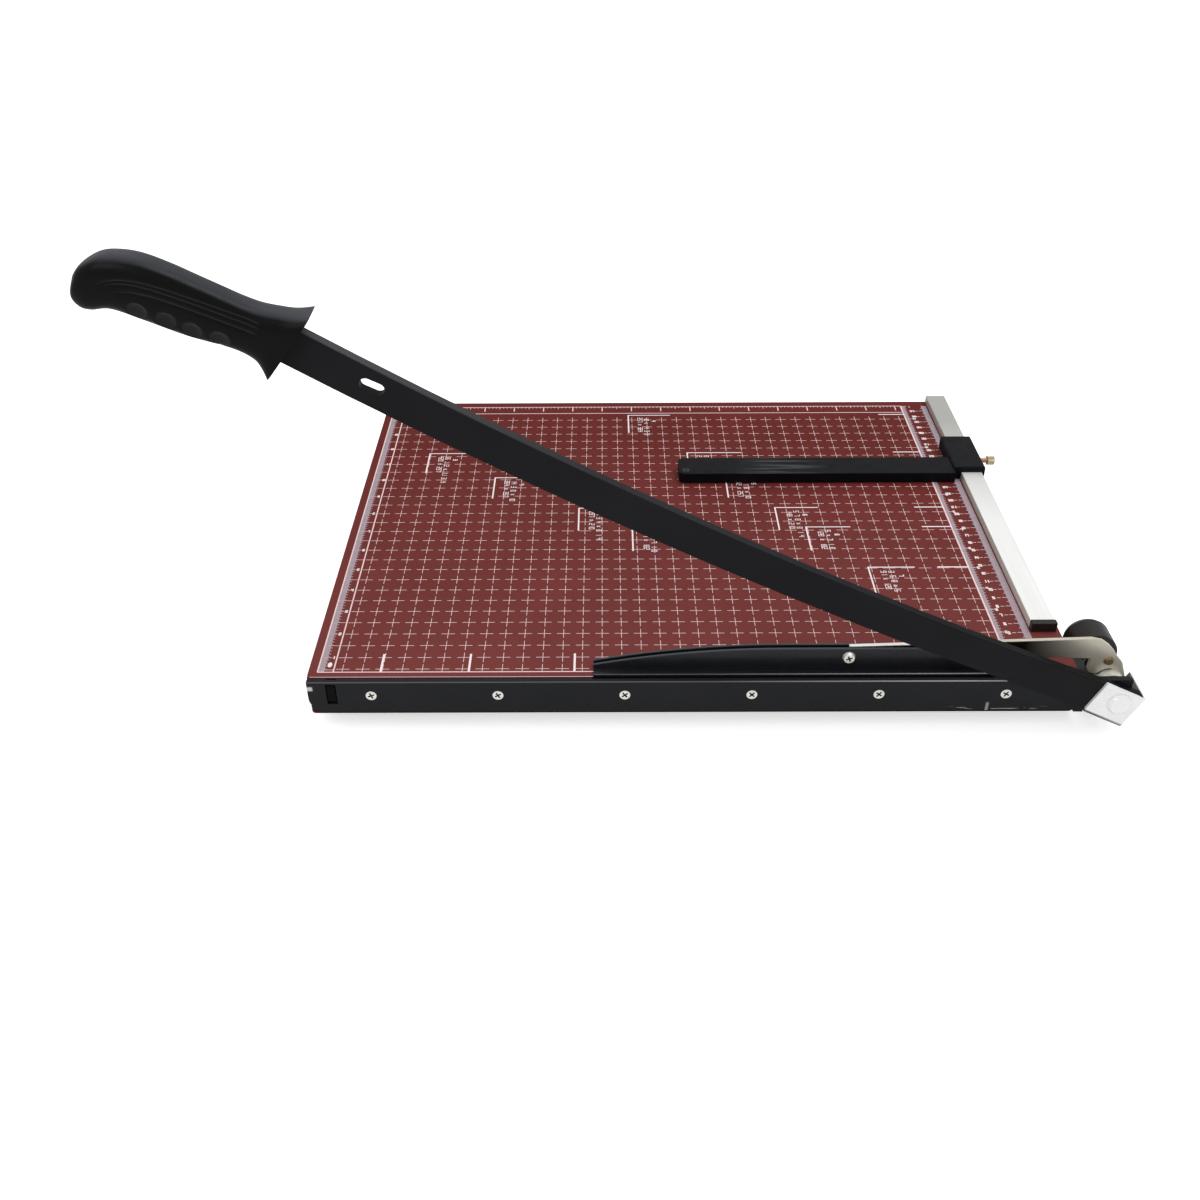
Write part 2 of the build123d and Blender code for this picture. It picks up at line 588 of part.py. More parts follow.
# ------------------------------------------------------------------ clamp lever
with BuildPart() as clamp_lever:
    with BuildSketch(front(LEVER_BACK)):
        with BuildLine():
            Polyline(*LEVER_TOP, *LEVER_UNDER, close=True)
        make_face()
        with Locations((PIVOT_X, PIVOT_Z)):
            Circle(LEVER_HEAD_R)
            Circle(SHOULDER_R + RUN, mode=Mode.SUBTRACT)
        with Locations((STUD_X, STUD_Z)):
            Circle(STUD_R, mode=Mode.SUBTRACT)
        with Locations(*CLAMP_SCREWS):
            Circle(CLAMP_SCREW_R, mode=Mode.SUBTRACT)
    extrude(amount=LEVER_THICK)

with BuildPart() as lever_stud:
    with Locations(*on(front(LEVER_FRONT), [(STUD_X, STUD_Z)])):
        Cylinder(STUD_R, LEVER_THICK, align=HANG)
        Cone(STUD_HEAD_R, STUD_HEAD_R - STUD_HEAD_H / 2, STUD_HEAD_H, align=STAND)
    with Locations(*on(front(LEVER_BACK), [(STUD_X, STUD_Z)])):
        Cone(STUD_HEAD_R - STUD_HEAD_H / 2, STUD_HEAD_R, STUD_HEAD_H / 2, align=HANG)

# ------------------------------------------------------------------ clamp bar
with BuildPart() as clamp_bar:
    with BuildSketch(front(BAR_BACK)):
        with BuildLine():
            Polyline(
                (BAR_SWEEP_END, BAR_HEIGHT), (BAR_RIGHT, BAR_HEIGHT), (BAR_RIGHT, 0), (BAR_LEFT, 0),
                (BAR_LEFT, BAR_NOSE_HEIGHT),
            )
            RadiusArc((BAR_LEFT, BAR_NOSE_HEIGHT), (BAR_SWEEP_END, BAR_HEIGHT), BAR_SWEEP_R)
        make_face()
    extrude(amount=BAR_BACK - BAR_TOE_FRONT)
    # room above the toe
    with BuildSketch(side(BAR_LEFT)):
        with Locations((BAR_TOE_FRONT, BAR_TOE_THICK)):
            Rectangle(BAR_WALL_FRONT - BAR_TOE_FRONT, BAR_HEIGHT, align=(Align.MIN, Align.MIN))
        with Locations((BAR_GROOVE_FRONT, BAR_WALL)):
            Rectangle(BAR_GROOVE, BAR_HEIGHT, align=(Align.MIN, Align.MIN))
    extrude(amount=BAR_RIGHT - BAR_LEFT, mode=Mode.SUBTRACT)
    with Locations(*on(front(BAR_WALL_FRONT), CLAMP_SCREWS)):
        Cylinder(CLAMP_SCREW_R, BAR_BACK - BAR_WALL_FRONT, align=HANG, mode=Mode.SUBTRACT)

with BuildPart() as clamp_screws:
    with Locations(*on(front(BAR_WALL_FRONT), CLAMP_SCREWS)):
        Cylinder(CLAMP_SCREW_R, BAR_BACK - BAR_WALL_FRONT, align=HANG)
        Cone(CLAMP_SCREW_HEAD_R, CLAMP_SCREW_HEAD_R - CLAMP_SCREW_HEAD_H / 2, CLAMP_SCREW_HEAD_H, align=STAND)

# ------------------------------------------------------------------ ruler bar
with BuildPart() as ruler_bar:
    with BuildSketch(level(0)):
        with Locations((RULER_LEFT, RULER_FRONT)):
            Rectangle(RULER_WIDE, RULER_BACK - RULER_FRONT, align=(Align.MIN, Align.MIN))
    extrude(amount=RULER_HIGH)
    chamfer(ruler_bar.faces().sort_by(Axis.Z)[-1].edges(), RULER_CHAMFER)
    with Locations(*on(underneath(0), mirrored(RULER_SCREWS))):
        Cylinder(RULER_SCREW_R, RULER_SCREW_UP, align=HANG, mode=Mode.SUBTRACT)
    with Locations((DATUM_X + RULER_SCREW_X, CUT_Y + RULER_FRONT, TOP_Z + RULER_HIGH / 2)):
        Cylinder(PEG_R, PEG_LONG, rotation=(90, 0, 0), align=HANG, mode=Mode.SUBTRACT)

with BuildPart() as ruler_bar_screws:
    with Locations(*on(underneath(BOARD_LOW), mirrored(RULER_SCREWS), RULER_SCREW_SINK)):
        Cylinder(RULER_SCREW_R, BOARD_THICK - RULER_SCREW_SINK + RULER_SCREW_UP, align=HANG)
        Cylinder(PAN_HEAD_R, PAN_HEAD_H, align=STAND)

with BuildPart() as ruler_end_cap:
    with BuildSketch(level(0)):
        with Locations((CAP_LEFT, CAP_FRONT)):
            Rectangle(CAP_RIGHT - CAP_LEFT, RULER_FRONT - CAP_FRONT, align=(Align.MIN, Align.MIN))
    extrude(amount=CAP_HIGH)
    fillet(ruler_end_cap.edges().filter_by(Axis.Z) + ruler_end_cap.faces().sort_by(Axis.Z)[-1].edges(), CAP_ROUND)
    with Locations((DATUM_X + RULER_SCREW_X, CUT_Y + RULER_FRONT, TOP_Z + RULER_HIGH / 2)):
        Cylinder(PEG_R, PEG_LONG, rotation=(90, 0, 0), align=HANG)

# ------------------------------------------------------------------ side guide and slider
with BuildPart() as side_guide:
    with BuildSketch(level(LIFT)):
        with Locations((GUIDE_LEFT, GUIDE_FRONT)):
            guide_plan = Rectangle(SLIDER_LEFT - GUIDE_LEFT, GUIDE_BACK - GUIDE_FRONT, align=(Align.MIN, Align.MIN))
        fillet(guide_plan.vertices().sort_by(Axis.X)[0:2], GUIDE_CORNER)
    extrude(amount=GUIDE_TOP - LIFT)
    with Locations(*on(level(GUIDE_TOP), [(GUIDE_DIMPLE_X, GUIDE_DIMPLE_Y)])):
        Cylinder(GUIDE_DIMPLE_R, GUIDE_DIMPLE_R, align=HANG, mode=Mode.SUBTRACT)
    flat_screws(side(SLIDER_INNER_LEFT), GUIDE_SCREWS, GUIDE_SCREW, mode=Mode.SUBTRACT)

with BuildPart() as slider_block:
    with BuildSketch(front(SLIDER_BACK)):
        with BuildLine():
            Polyline(
                (SLIDER_LEFT, LIFT), (SLIDER_LEFT, SLIDER_TOP), (SLIDER_RIGHT, SLIDER_TOP),
                (SLIDER_RIGHT, LIFT), (SLIDER_INNER_RIGHT, LIFT), (SLIDER_INNER_RIGHT, SLIDER_ROOF),
                (SLIDER_INNER_LEFT, SLIDER_ROOF), (SLIDER_INNER_LEFT, LIFT), close=True,
            )
        make_face()
    extrude(amount=SLIDER_BACK - SLIDER_FRONT)
    chamfer(slider_block.faces().sort_by(Axis.Z)[-1].edges(), SLIDER_CHAMFER)
    flat_screws(side(SLIDER_INNER_LEFT), GUIDE_SCREWS, GUIDE_SCREW, mode=Mode.SUBTRACT)
    with Locations(*on(side(SLIDER_RIGHT), [(THUMB_Y, THUMB_Z)])):
        Cylinder(THUMB_SHAFT_R + RUN, SLIDER_RIGHT - SLIDER_INNER_RIGHT, align=HANG, mode=Mode.SUBTRACT)

with BuildPart() as guide_screws:
    flat_screws(side(SLIDER_INNER_LEFT), GUIDE_SCREWS, GUIDE_SCREW)

with BuildPart() as slider_pad:
    with Locations(*on(side(PAD_LEFT), [(THUMB_Y, THUMB_Z)])):
        Cylinder(THUMB_SHAFT_R, PAD_THICK, align=STAND)

with BuildPart() as thumb_screw:
    with Locations(*on(side(PAD_RIGHT), [(THUMB_Y, THUMB_Z)])):
        Cylinder(THUMB_SHAFT_R, THUMB_HEAD_START - PAD_RIGHT, align=STAND)
    with Locations(*on(side(THUMB_HEAD_START), [(THUMB_Y, THUMB_Z)])):
        Cylinder(THUMB_HEAD_R, THUMB_END - THUMB_HEAD_START, align=STAND)
    chamfer(thumb_screw.faces().sort_by(Axis.X)[-1].edges(), RULER_CHAMFER)

# ------------------------------------------------------------------ labels and files
base_board.part.label = "base_board"
top_sheet.part.label = "top_sheet"
rubber_feet.part.label = "rubber_feet"
foot_screws.part.label = "foot_screws"
fixed_blade.part.label = "fixed_blade"
blade_screws.part.label = "blade_screws"
lock_pin.part.label = "lock_pin"
arm_lock.part.label = "arm_lock"
pivot_bracket.part.label = "pivot_bracket"
bracket_screws.part.label = "bracket_screws"
pivot_bolt.part.label = "pivot_bolt"
pivot_spacer.part.label = "pivot_spacer"
pivot_washers.part.label = "pivot_washers"
pivot_spring.part.label = "pivot_spring"
pivot_nut.part.label = "pivot_nut"
spring_cap.part.label = "spring_cap"
blade_arm.part.label = "blade_arm"
tail_plate.part.label = "tail_plate"
tail_rivets.part.label = "tail_rivets"
handle.part.label = "handle"
clamp_lever.part.label = "clamp_lever"
lever_stud.part.label = "lever_stud"
clamp_bar.part.label = "clamp_bar"
clamp_screws.part.label = "clamp_screws"
ruler_bar.part.label = "ruler_bar"
ruler_bar_screws.part.label = "ruler_bar_screws"
ruler_end_cap.part.label = "ruler_end_cap"
side_guide.part.label = "side_guide"
slider_block.part.label = "slider_block"
guide_screws.part.label = "guide_screws"
slider_pad.part.label = "slider_pad"
thumb_screw.part.label = "thumb_screw"

export_step(base_board.part, "parts/base_board.step")
export_step(top_sheet.part, "parts/top_sheet.step")
export_step(rubber_feet.part, "parts/rubber_feet.step")
export_step(foot_screws.part, "parts/foot_screws.step")
export_step(fixed_blade.part, "parts/fixed_blade.step")
export_step(blade_screws.part, "parts/blade_screws.step")
export_step(lock_pin.part, "parts/lock_pin.step")
export_step(arm_lock.part, "parts/arm_lock.step")
export_step(pivot_bracket.part, "parts/pivot_bracket.step")
export_step(bracket_screws.part, "parts/bracket_screws.step")
export_step(pivot_bolt.part, "parts/pivot_bolt.step")
export_step(pivot_spacer.part, "parts/pivot_spacer.step")
export_step(pivot_washers.part, "parts/pivot_washers.step")
export_step(pivot_spring.part, "parts/pivot_spring.step")
export_step(pivot_nut.part, "parts/pivot_nut.step")
export_step(spring_cap.part, "parts/spring_cap.step")
export_step(blade_arm.part, "parts/blade_arm.step")
export_step(tail_plate.part, "parts/tail_plate.step")
export_step(tail_rivets.part, "parts/tail_rivets.step")
export_step(handle.part, "parts/handle.step")
export_step(clamp_lever.part, "parts/clamp_lever.step")
export_step(lever_stud.part, "parts/lever_stud.step")
export_step(clamp_bar.part, "parts/clamp_bar.step")
export_step(clamp_screws.part, "parts/clamp_screws.step")
export_step(ruler_bar.part, "parts/ruler_bar.step")
export_step(ruler_bar_screws.part, "parts/ruler_bar_screws.step")
export_step(ruler_end_cap.part, "parts/ruler_end_cap.step")
export_step(side_guide.part, "parts/side_guide.step")
export_step(slider_block.part, "parts/slider_block.step")
export_step(guide_screws.part, "parts/guide_screws.step")
export_step(slider_pad.part, "parts/slider_pad.step")
export_step(thumb_screw.part, "parts/thumb_screw.step")
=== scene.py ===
import math
from collections import namedtuple

import bpy
from mathutils import Matrix, Vector


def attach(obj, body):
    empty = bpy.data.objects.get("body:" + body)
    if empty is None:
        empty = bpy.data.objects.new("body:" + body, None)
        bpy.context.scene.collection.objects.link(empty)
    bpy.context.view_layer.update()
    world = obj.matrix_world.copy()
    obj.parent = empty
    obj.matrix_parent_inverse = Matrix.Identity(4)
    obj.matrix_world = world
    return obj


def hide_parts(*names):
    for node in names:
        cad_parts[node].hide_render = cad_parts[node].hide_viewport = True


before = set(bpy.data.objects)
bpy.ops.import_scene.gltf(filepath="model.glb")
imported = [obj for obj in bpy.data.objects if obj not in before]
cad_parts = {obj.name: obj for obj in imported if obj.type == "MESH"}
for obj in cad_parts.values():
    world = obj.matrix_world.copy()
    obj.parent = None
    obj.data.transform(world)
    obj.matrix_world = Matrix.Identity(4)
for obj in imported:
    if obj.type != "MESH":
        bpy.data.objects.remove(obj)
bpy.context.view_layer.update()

# ------------------------------------------------------------------ frame
# Lengths below are in millimetres from the same three datums as the solids: x from the print datum,
# y from the cutting plane, z from the printed top. spot() turns them into the row frame in metres.
MM = 0.001
DATUM_X = 243.0
CUT_Y = -186.0
TOP_Z = 40.0
PIVOT_X = 44.0
PIVOT_Z = -12.0
ARM_RAISED = math.radians(26.3)
DATUMS = {"X": DATUM_X, "Y": CUT_Y, "Z": TOP_Z}


def spot(x, y, z):
    return Vector(((x + DATUM_X) * MM, (y + CUT_Y) * MM, (z + TOP_Z) * MM))


def arm_spot(u, y, v):
    """A point of the raised arm: u from the pivot to the handle, v up when the arm is closed."""
    x = PIVOT_X - u * math.cos(ARM_RAISED) + v * math.sin(ARM_RAISED)
    z = PIVOT_Z + u * math.sin(ARM_RAISED) + v * math.cos(ARM_RAISED)
    return spot(x, y, z)


# ------------------------------------------------------------------ shader nodes
# most values of a noise texture lie between these two
NOISE_LOW = 0.3
NOISE_HIGH = 0.7
COLOUR_DETAIL = 4.0
GLOSS_DETAIL = 3.0
GRAIN_DETAIL = 2.0
GLOSS_FINER = 2.3
ROUGH_VARY = 0.06
BUMP_DEPTH = 0.0002
BEVEL_SAMPLES = 4


def linear(channel):
    return channel / 12.92 if channel <= 0.04045 else ((channel + 0.055) / 1.055) ** 2.4


def colour(red, green, blue):
    """A colour as it shows on screen, 0 to 255, as linear values."""
    return (linear(red / 255), linear(green / 255), linear(blue / 255), 1.0)


def shade(base, factor):
    return tuple(min(1.0, channel * factor) for channel in base[:3]) + (1.0,)


class Nodes:
    """Adds and joins the shader nodes of one material."""

    def __init__(self, name):
        self.material = bpy.data.materials.new(name)
        self.material.use_nodes = True
        self.tree = self.material.node_tree
        self.shader = self.tree.nodes["Principled BSDF"]
        self.place = self.tree.nodes.new("ShaderNodeTexCoord")

    def add(self, kind, **settings):
        node = self.tree.nodes.new(kind)
        for key, value in settings.items():
            setattr(node, key, value)
        return node

    def join(self, source, target):
        self.tree.links.new(source, target)

    def feed(self, value, target):
        """Joins an output to a socket, or writes a fixed value into it."""
        if isinstance(value, bpy.types.NodeSocket):
            self.join(value, target)
        else:
            target.default_value = value

    def noise(self, scale, detail, stretch=(1, 1, 1)):
        mapping = self.add("ShaderNodeMapping")
        mapping.inputs["Scale"].default_value = stretch
        self.join(self.place.outputs["Object"], mapping.inputs["Vector"])
        node = self.add("ShaderNodeTexNoise")
        node.inputs["Scale"].default_value = scale
        node.inputs["Detail"].default_value = detail
        self.join(mapping.outputs["Vector"], node.inputs["Vector"])
        return node.outputs["Fac"]

    def varied(self, cloud, base, amount):
        """A base colour that grows darker and lighter with a noise."""
        node = self.add("ShaderNodeValToRGB")
        low, high = node.color_ramp.elements
        low.position = NOISE_LOW
        low.color = shade(base, 1 - amount)
        high.position = NOISE_HIGH
        high.color = shade(base, 1 + amount)
        self.join(cloud, node.inputs["Fac"])
        return node.outputs["Color"]

    def mix(self, mask, first, second):
        node = self.add("ShaderNodeMix", data_type="RGBA")
        self.join(mask, node.inputs[0])
        self.feed(first, node.inputs[6])
        self.feed(second, node.inputs[7])
        return node.outputs[2]

    def maths(self, operation, first, second):
        node = self.add("ShaderNodeMath", operation=operation)
        self.feed(first, node.inputs[0])
        self.feed(second, node.inputs[1])
        return node.outputs[0]

    def plus(self, first, second):
        return self.maths("ADD", first, second)

    def minus(self, first, second):
        return self.maths("SUBTRACT", first, second)

    def apart(self, first, second):
        """How far two values are from one another, without a sign."""
        return self.maths("ABSOLUTE", self.minus(first, second), 0.0)

    def product(self, first, *others):
        for other in others:
            first = self.maths("MULTIPLY", first, other)
        return first

    def squares(self, first, second):
        """The sum of two squares."""
        return self.plus(self.product(first, first), self.product(second, second))

    def ease(self, source, start, end, low=0.0, high=1.0):
        """low where the source is at start, high where it is at end, and level beyond."""
        node = self.add("ShaderNodeMapRange")
        for name, value in (("From Min", start), ("From Max", end), ("To Min", low), ("To Max", high)):
            node.inputs[name].default_value = value
        self.join(source, node.inputs["Value"])
        return node.outputs["Result"]

    def axis(self, name):
        """Millimetres from the datum of one axis."""
        parts = self.add("ShaderNodeSeparateXYZ")
        self.join(self.place.outputs["Object"], parts.inputs[0])
        return self.minus(self.product(parts.outputs[name], 1 / MM), DATUMS[name])

    def arm_axes(self):
        """u and v of the raised arm in millimetres."""
        shift = self.add("ShaderNodeVectorMath", operation="SUBTRACT")
        self.join(self.place.outputs["Object"], shift.inputs[0])
        shift.inputs[1].default_value = spot(PIVOT_X, 0, PIVOT_Z)
        cos, sin = math.cos(ARM_RAISED), math.sin(ARM_RAISED)
        both = []
        for direction in ((-cos, 0, sin), (sin, 0, cos)):
            node = self.add("ShaderNodeVectorMath", operation="DOT_PRODUCT")
            self.join(shift.outputs[0], node.inputs[0])
            node.inputs[1].default_value = direction
            both.append(self.product(node.outputs["Value"], 1 / MM))
        return both

    def facing_up(self):
        """1 on faces that look up at rest, 0 on upright ones."""
        parts = self.add("ShaderNodeSeparateXYZ")
        self.join(self.place.outputs["Normal"], parts.inputs[0])
        return parts.outputs["Z"]

    def reach(self, axis, start, end):
        """0 where an axis is at start, 1 where it is at end."""
        return self.ease(self.axis(axis), start, end)

    def patch(self, *bounds):
        """1 inside soft bounds, each (axis, where it is 0, where it is 1)."""
        return self.product(*(self.reach(*bound) for bound in bounds))

    def over(self, mask, second):
        """Lays a second colour over the base colour where the mask is 1."""
        base = self.shader.inputs["Base Color"].links[0].from_socket
        self.join(self.mix(mask, base, second), self.shader.inputs["Base Color"])

    def mark(self, bounds, second):
        """Lays a second colour over the base colour inside soft bounds."""
        self.over(self.patch(*bounds), second)

    def bump(self, height, strength, edge):
        """Fine bump, over edges that look rounded to a radius of edge metres."""
        node = self.add("ShaderNodeBump")
        node.inputs["Strength"].default_value = strength
        node.inputs["Distance"].default_value = BUMP_DEPTH
        self.join(height, node.inputs["Height"])
        if edge:
            bevel = self.add("ShaderNodeBevel", samples=BEVEL_SAMPLES)
            bevel.inputs["Radius"].default_value = edge
            self.join(bevel.outputs["Normal"], node.inputs["Normal"])
        self.join(node.outputs["Normal"], self.shader.inputs["Normal"])


def finish(name, base, rough, metal=0.0, specular=0.5, vary=0.12, vary_scale=30.0,
           stretch=(1, 1, 1), bump_scale=900.0, bump_strength=0.08, edge=0.0):
    """A plain finish with colour variation, uneven gloss, fine bump and softened edges."""
    n = Nodes(name)
    cloud = n.noise(vary_scale, COLOUR_DETAIL, stretch)
    n.join(n.varied(cloud, base, vary), n.shader.inputs["Base Color"])
    gloss = n.noise(vary_scale * GLOSS_FINER, GLOSS_DETAIL, stretch)
    uneven = n.ease(gloss, NOISE_LOW, NOISE_HIGH, rough - ROUGH_VARY, rough + ROUGH_VARY)
    n.join(uneven, n.shader.inputs["Roughness"])
    n.shader.inputs["Metallic"].default_value = metal
    n.shader.inputs["Specular IOR Level"].default_value = specular
    n.bump(n.noise(bump_scale, GRAIN_DETAIL, stretch), bump_strength, edge)
    return n


def put(look, *nodes):
    """Gives CAD nodes one look."""
    for node in nodes:
        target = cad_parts[node]
        target.data.materials.clear()
        target.data.materials.append(look.material)


# ------------------------------------------------------------------ top sheet and board
SHEET_FRONT_RED = colour(118, 58, 55)
SHEET_BACK_RED = colour(101, 36, 32)
EDGE_RED = colour(84, 40, 40)
EDGE_UPPER_SHADE = colour(58, 42, 45)
EDGE_SHADE_UNDER_BLADE = colour(50, 22, 22)
CLAMP_SHADOW_BLACK = colour(14, 12, 12)
FRONT_CLOUDS = 20.0
FRONT_VARY = 0.07
# Here and below, a pair of numbers says where a mask is 0 and where it is 1. Bounds say the same of
# several axes at once.
SHEET_FRONT_Y = (330.0, 10.0)
# painted shadow: the sheet and the board's front strip under the clamp bar's toe are painted nearly
# black
SHADE_UNDER_CLAMP = (("X", -286.5, -285.0), ("Y", 6.2, 5.6))
BOARD_FRONT_EDGE_SHADE = (("Y", 5.6, 5.2), ("Z", -2.0, -1.0))
BOARD_UNDER_BLADE = (("Y", 12.0, 4.0), ("Z", -16.0, -23.0))

sheet_look = finish("printed_red", SHEET_BACK_RED, 0.5, vary=0.1, vary_scale=16.0,
                    bump_scale=1400.0, bump_strength=0.05, specular=0.06)
front_cloud = sheet_look.noise(FRONT_CLOUDS, COLOUR_DETAIL)
front_red = sheet_look.varied(front_cloud, SHEET_FRONT_RED, FRONT_VARY)
sheet_look.over(sheet_look.reach("Y", *SHEET_FRONT_Y), front_red)
# painted shadow of the clamp bar's toe on the sheet's front strip
sheet_look.mark(SHADE_UNDER_CLAMP, CLAMP_SHADOW_BLACK)

board_look = finish("board_edge", EDGE_RED, 0.6, vary=0.16, vary_scale=60.0, stretch=(0.3, 0.3, 1.5),
                    bump_scale=700.0, bump_strength=0.2, specular=0.15, edge=0.0006)
# painted shade: the board's narrow front strip in front of the sheet is painted dark
board_look.mark(BOARD_FRONT_EDGE_SHADE, EDGE_UPPER_SHADE)
# painted shade: the board's lower front, under the fixed blade, is painted darker
board_look.mark(BOARD_UNDER_BLADE, EDGE_SHADE_UNDER_BLADE)
# painted shadow of the clamp bar's toe on the board's front strip
board_look.mark(SHADE_UNDER_CLAMP, CLAMP_SHADOW_BLACK)

# ------------------------------------------------------------------ arm
# painted shade and highlight: its narrow top is painted dark near the pivot and lighter towards the
# handle, where it looks lit
ARM_BLACK = colour(33, 33, 35)
ARM_TOP_SHADE_AT_PIVOT = colour(22, 22, 24)
ARM_TOP_SHEEN_MIDWAY = colour(44, 44, 48)
ARM_TOP_HIGHLIGHT_AT_HANDLE = colour(74, 74, 77)
# lowest place and radius of the arm's upper edge
ARM_ARC_U = 252.7
ARM_ARC_V = -0.3
ARM_ARC_R = 3426.5
ARM_RIM_UP = (-0.5, -0.2)
ARM_MIDWAY_U = (130.0, 330.0)
ARM_AT_HANDLE_U = (360.0, 520.0)

arm_look = finish("arm_black", ARM_BLACK, 0.36, vary=0.1, vary_scale=22.0, specular=0.03, edge=0.0005)
arm_u, arm_v = arm_look.arm_axes()
arm_du = arm_look.minus(arm_u, ARM_ARC_U)
arm_top = arm_look.product(arm_du, arm_du, 0.5 / ARM_ARC_R)
arm_height = arm_look.minus(arm_look.minus(arm_v, arm_top), ARM_ARC_V)
arm_top_shading = arm_look.ease(arm_height, *ARM_RIM_UP)
arm_look.over(arm_top_shading, ARM_TOP_SHADE_AT_PIVOT)
arm_look.over(arm_look.product(arm_top_shading, arm_look.ease(arm_u, *ARM_MIDWAY_U)), ARM_TOP_SHEEN_MIDWAY)
arm_look.over(arm_look.product(arm_top_shading, arm_look.ease(arm_u, *ARM_AT_HANDLE_U)), ARM_TOP_HIGHLIGHT_AT_HANDLE)

# ------------------------------------------------------------------ fixed blade
# its upper edge is worn bare and carries a painted highlight that grows brighter to the right,
# scratches and a chip lie near the pivot, and its left end has a painted glint
STEEL_BLACK = colour(26, 27, 31)
WORN_EDGE_HIGHLIGHT = colour(92, 92, 98)
RAIL_EDGE_HIGHLIGHT = colour(172, 172, 172)
RAIL_SCRATCHED = colour(150, 138, 134)
RAIL_CHIPPED = colour(150, 146, 142)
RAIL_PAINTED_GLINT = colour(212, 206, 204)
RAIL_EDGE = (("Z", -0.7, -0.4), ("Y", 0.6, 0.35), ("X", 14.0, 4.0))
RAIL_EDGE_BRIGHTER_RIGHT = RAIL_EDGE + (("X", -210.0, -50.0),)
RAIL_SCRATCHES = (("X", -80.0, -50.0), ("X", 20.0, -8.0), ("Z", -20.5, -22.0))
RAIL_CHIP = (("X", -36.4, -35.6), ("X", -33.8, -34.6), ("Z", -16.8, -18.5))
RAIL_LEFT_END_GLINT = (("X", -461.6, -462.6), ("Z", -7.4, -6.2), ("Z", -3.2, -4.4))
SCRATCH_SCALE = 60.0
SCRATCH_DETAIL = 2.0
SCRATCH_STRETCH = (1.0, 1.0, 12.0)
SCRATCH_ABOVE = 0.66

rail_look = finish("rail_black", STEEL_BLACK, 0.4, vary=0.12, vary_scale=25.0, specular=0.16,
                   edge=0.0005)
# worn upper edge with a painted highlight, brighter towards the right
rail_look.mark(RAIL_EDGE, WORN_EDGE_HIGHLIGHT)
rail_look.mark(RAIL_EDGE_BRIGHTER_RIGHT, RAIL_EDGE_HIGHLIGHT)
scratch_noise = rail_look.noise(SCRATCH_SCALE, SCRATCH_DETAIL, SCRATCH_STRETCH)
scratches = rail_look.maths("GREATER_THAN", scratch_noise, SCRATCH_ABOVE)
rail_look.over(rail_look.product(scratches, rail_look.patch(*RAIL_SCRATCHES)), RAIL_SCRATCHED)
rail_look.mark(RAIL_CHIP, RAIL_CHIPPED)
# painted glint at the left end of the fixed blade
rail_look.mark(RAIL_LEFT_END_GLINT, RAIL_PAINTED_GLINT)

# ------------------------------------------------------------------ clamp bar
# its toe is worn and carries a painted highlight that grows brighter to the right, and its upper edge,
# which sweeps down to the left, carries a painted highlight
BAR_TOE_HIGHLIGHT = colour(164, 164, 168)
BAR_RIM_HIGHLIGHT = colour(66, 68, 74)
BAR_TOE = (("Y", 6.1, 5.85), ("Z", 0.85, 1.15), ("Z", 2.2, 1.8))
BAR_TOE_BRIGHTER_RIGHT = BAR_TOE + (("X", -220.0, -60.0),)
# height of the upper edge, and the place and radius of its sweep down to the left
CLAMP_HEIGHT = 16.3
CLAMP_SWEEP_END = -165.0
CLAMP_SWEEP_R = 601.1
BAR_RIM_UP = (-0.9, -0.4)
BAR_RIM_Y = (10.0, 11.0)

bar_look = finish("clamp_black", STEEL_BLACK, 0.26, vary=0.12, vary_scale=30.0, specular=0.3,
                  edge=0.0003)
# worn toe with a painted highlight, brighter towards the right
bar_look.mark(BAR_TOE, WORN_EDGE_HIGHLIGHT)
bar_look.mark(BAR_TOE_BRIGHTER_RIGHT, BAR_TOE_HIGHLIGHT)
# painted highlight along the clamp bar's upper edge
sweep = bar_look.maths("MINIMUM", bar_look.minus(bar_look.axis("X"), CLAMP_SWEEP_END), 0.0)
sweep_drop = bar_look.product(sweep, sweep, 0.5 / CLAMP_SWEEP_R)
bar_high = bar_look.plus(bar_look.minus(bar_look.axis("Z"), CLAMP_HEIGHT), sweep_drop)
bar_rim_highlight = bar_look.product(bar_look.ease(bar_high, *BAR_RIM_UP), bar_look.reach("Y", *BAR_RIM_Y))
bar_look.over(bar_rim_highlight, BAR_RIM_HIGHLIGHT)

# ------------------------------------------------------------------ handle look
# fine lines and finger hollows on its sides, which the mesh below cuts at the same places; the lines
# are painted lighter as a painted highlight, and faces that look up carry a painted sheen
HANDLE_BLACK = colour(8, 8, 10)
HANDLE_TOP_SHEEN = colour(60, 62, 67)
GROOVE_HIGHLIGHT = colour(42, 42, 46)
HOLLOW_GREY = colour(28, 28, 31)
ARM_MIDDLE = -3.3
# v at the start and, but for the final bend, at the end; how far the bend drops; u of the end
GROOVES = ((10.4, 4.9, 12.0, 640.0), (7.7, 3.2, 8.0, 636.0), (4.2, 0.3, 6.0, 630.0))
GROOVE_FROM = 559.0
GROOVE_FADE = 9.0
GROOVE_BEND = 8.0
# u and v of the middle
HOLLOWS = ((574.6, -7.2), (588.6, -8.6), (601.9, -8.9), (616.4, -10.4))
HOLLOW_LONG = 5.4
HOLLOW_HIGH = 4.7
SHEEN_TURNED_UP = (0.7, 0.97)
SIDE_FROM = (7.5, 9.0)
GROOVE_HALF = (0.4, 0.12)
GROOVE_START = (GROOVE_FROM - 1, GROOVE_FROM + 2)
HOLLOW_RIM = (1.0, 0.85)

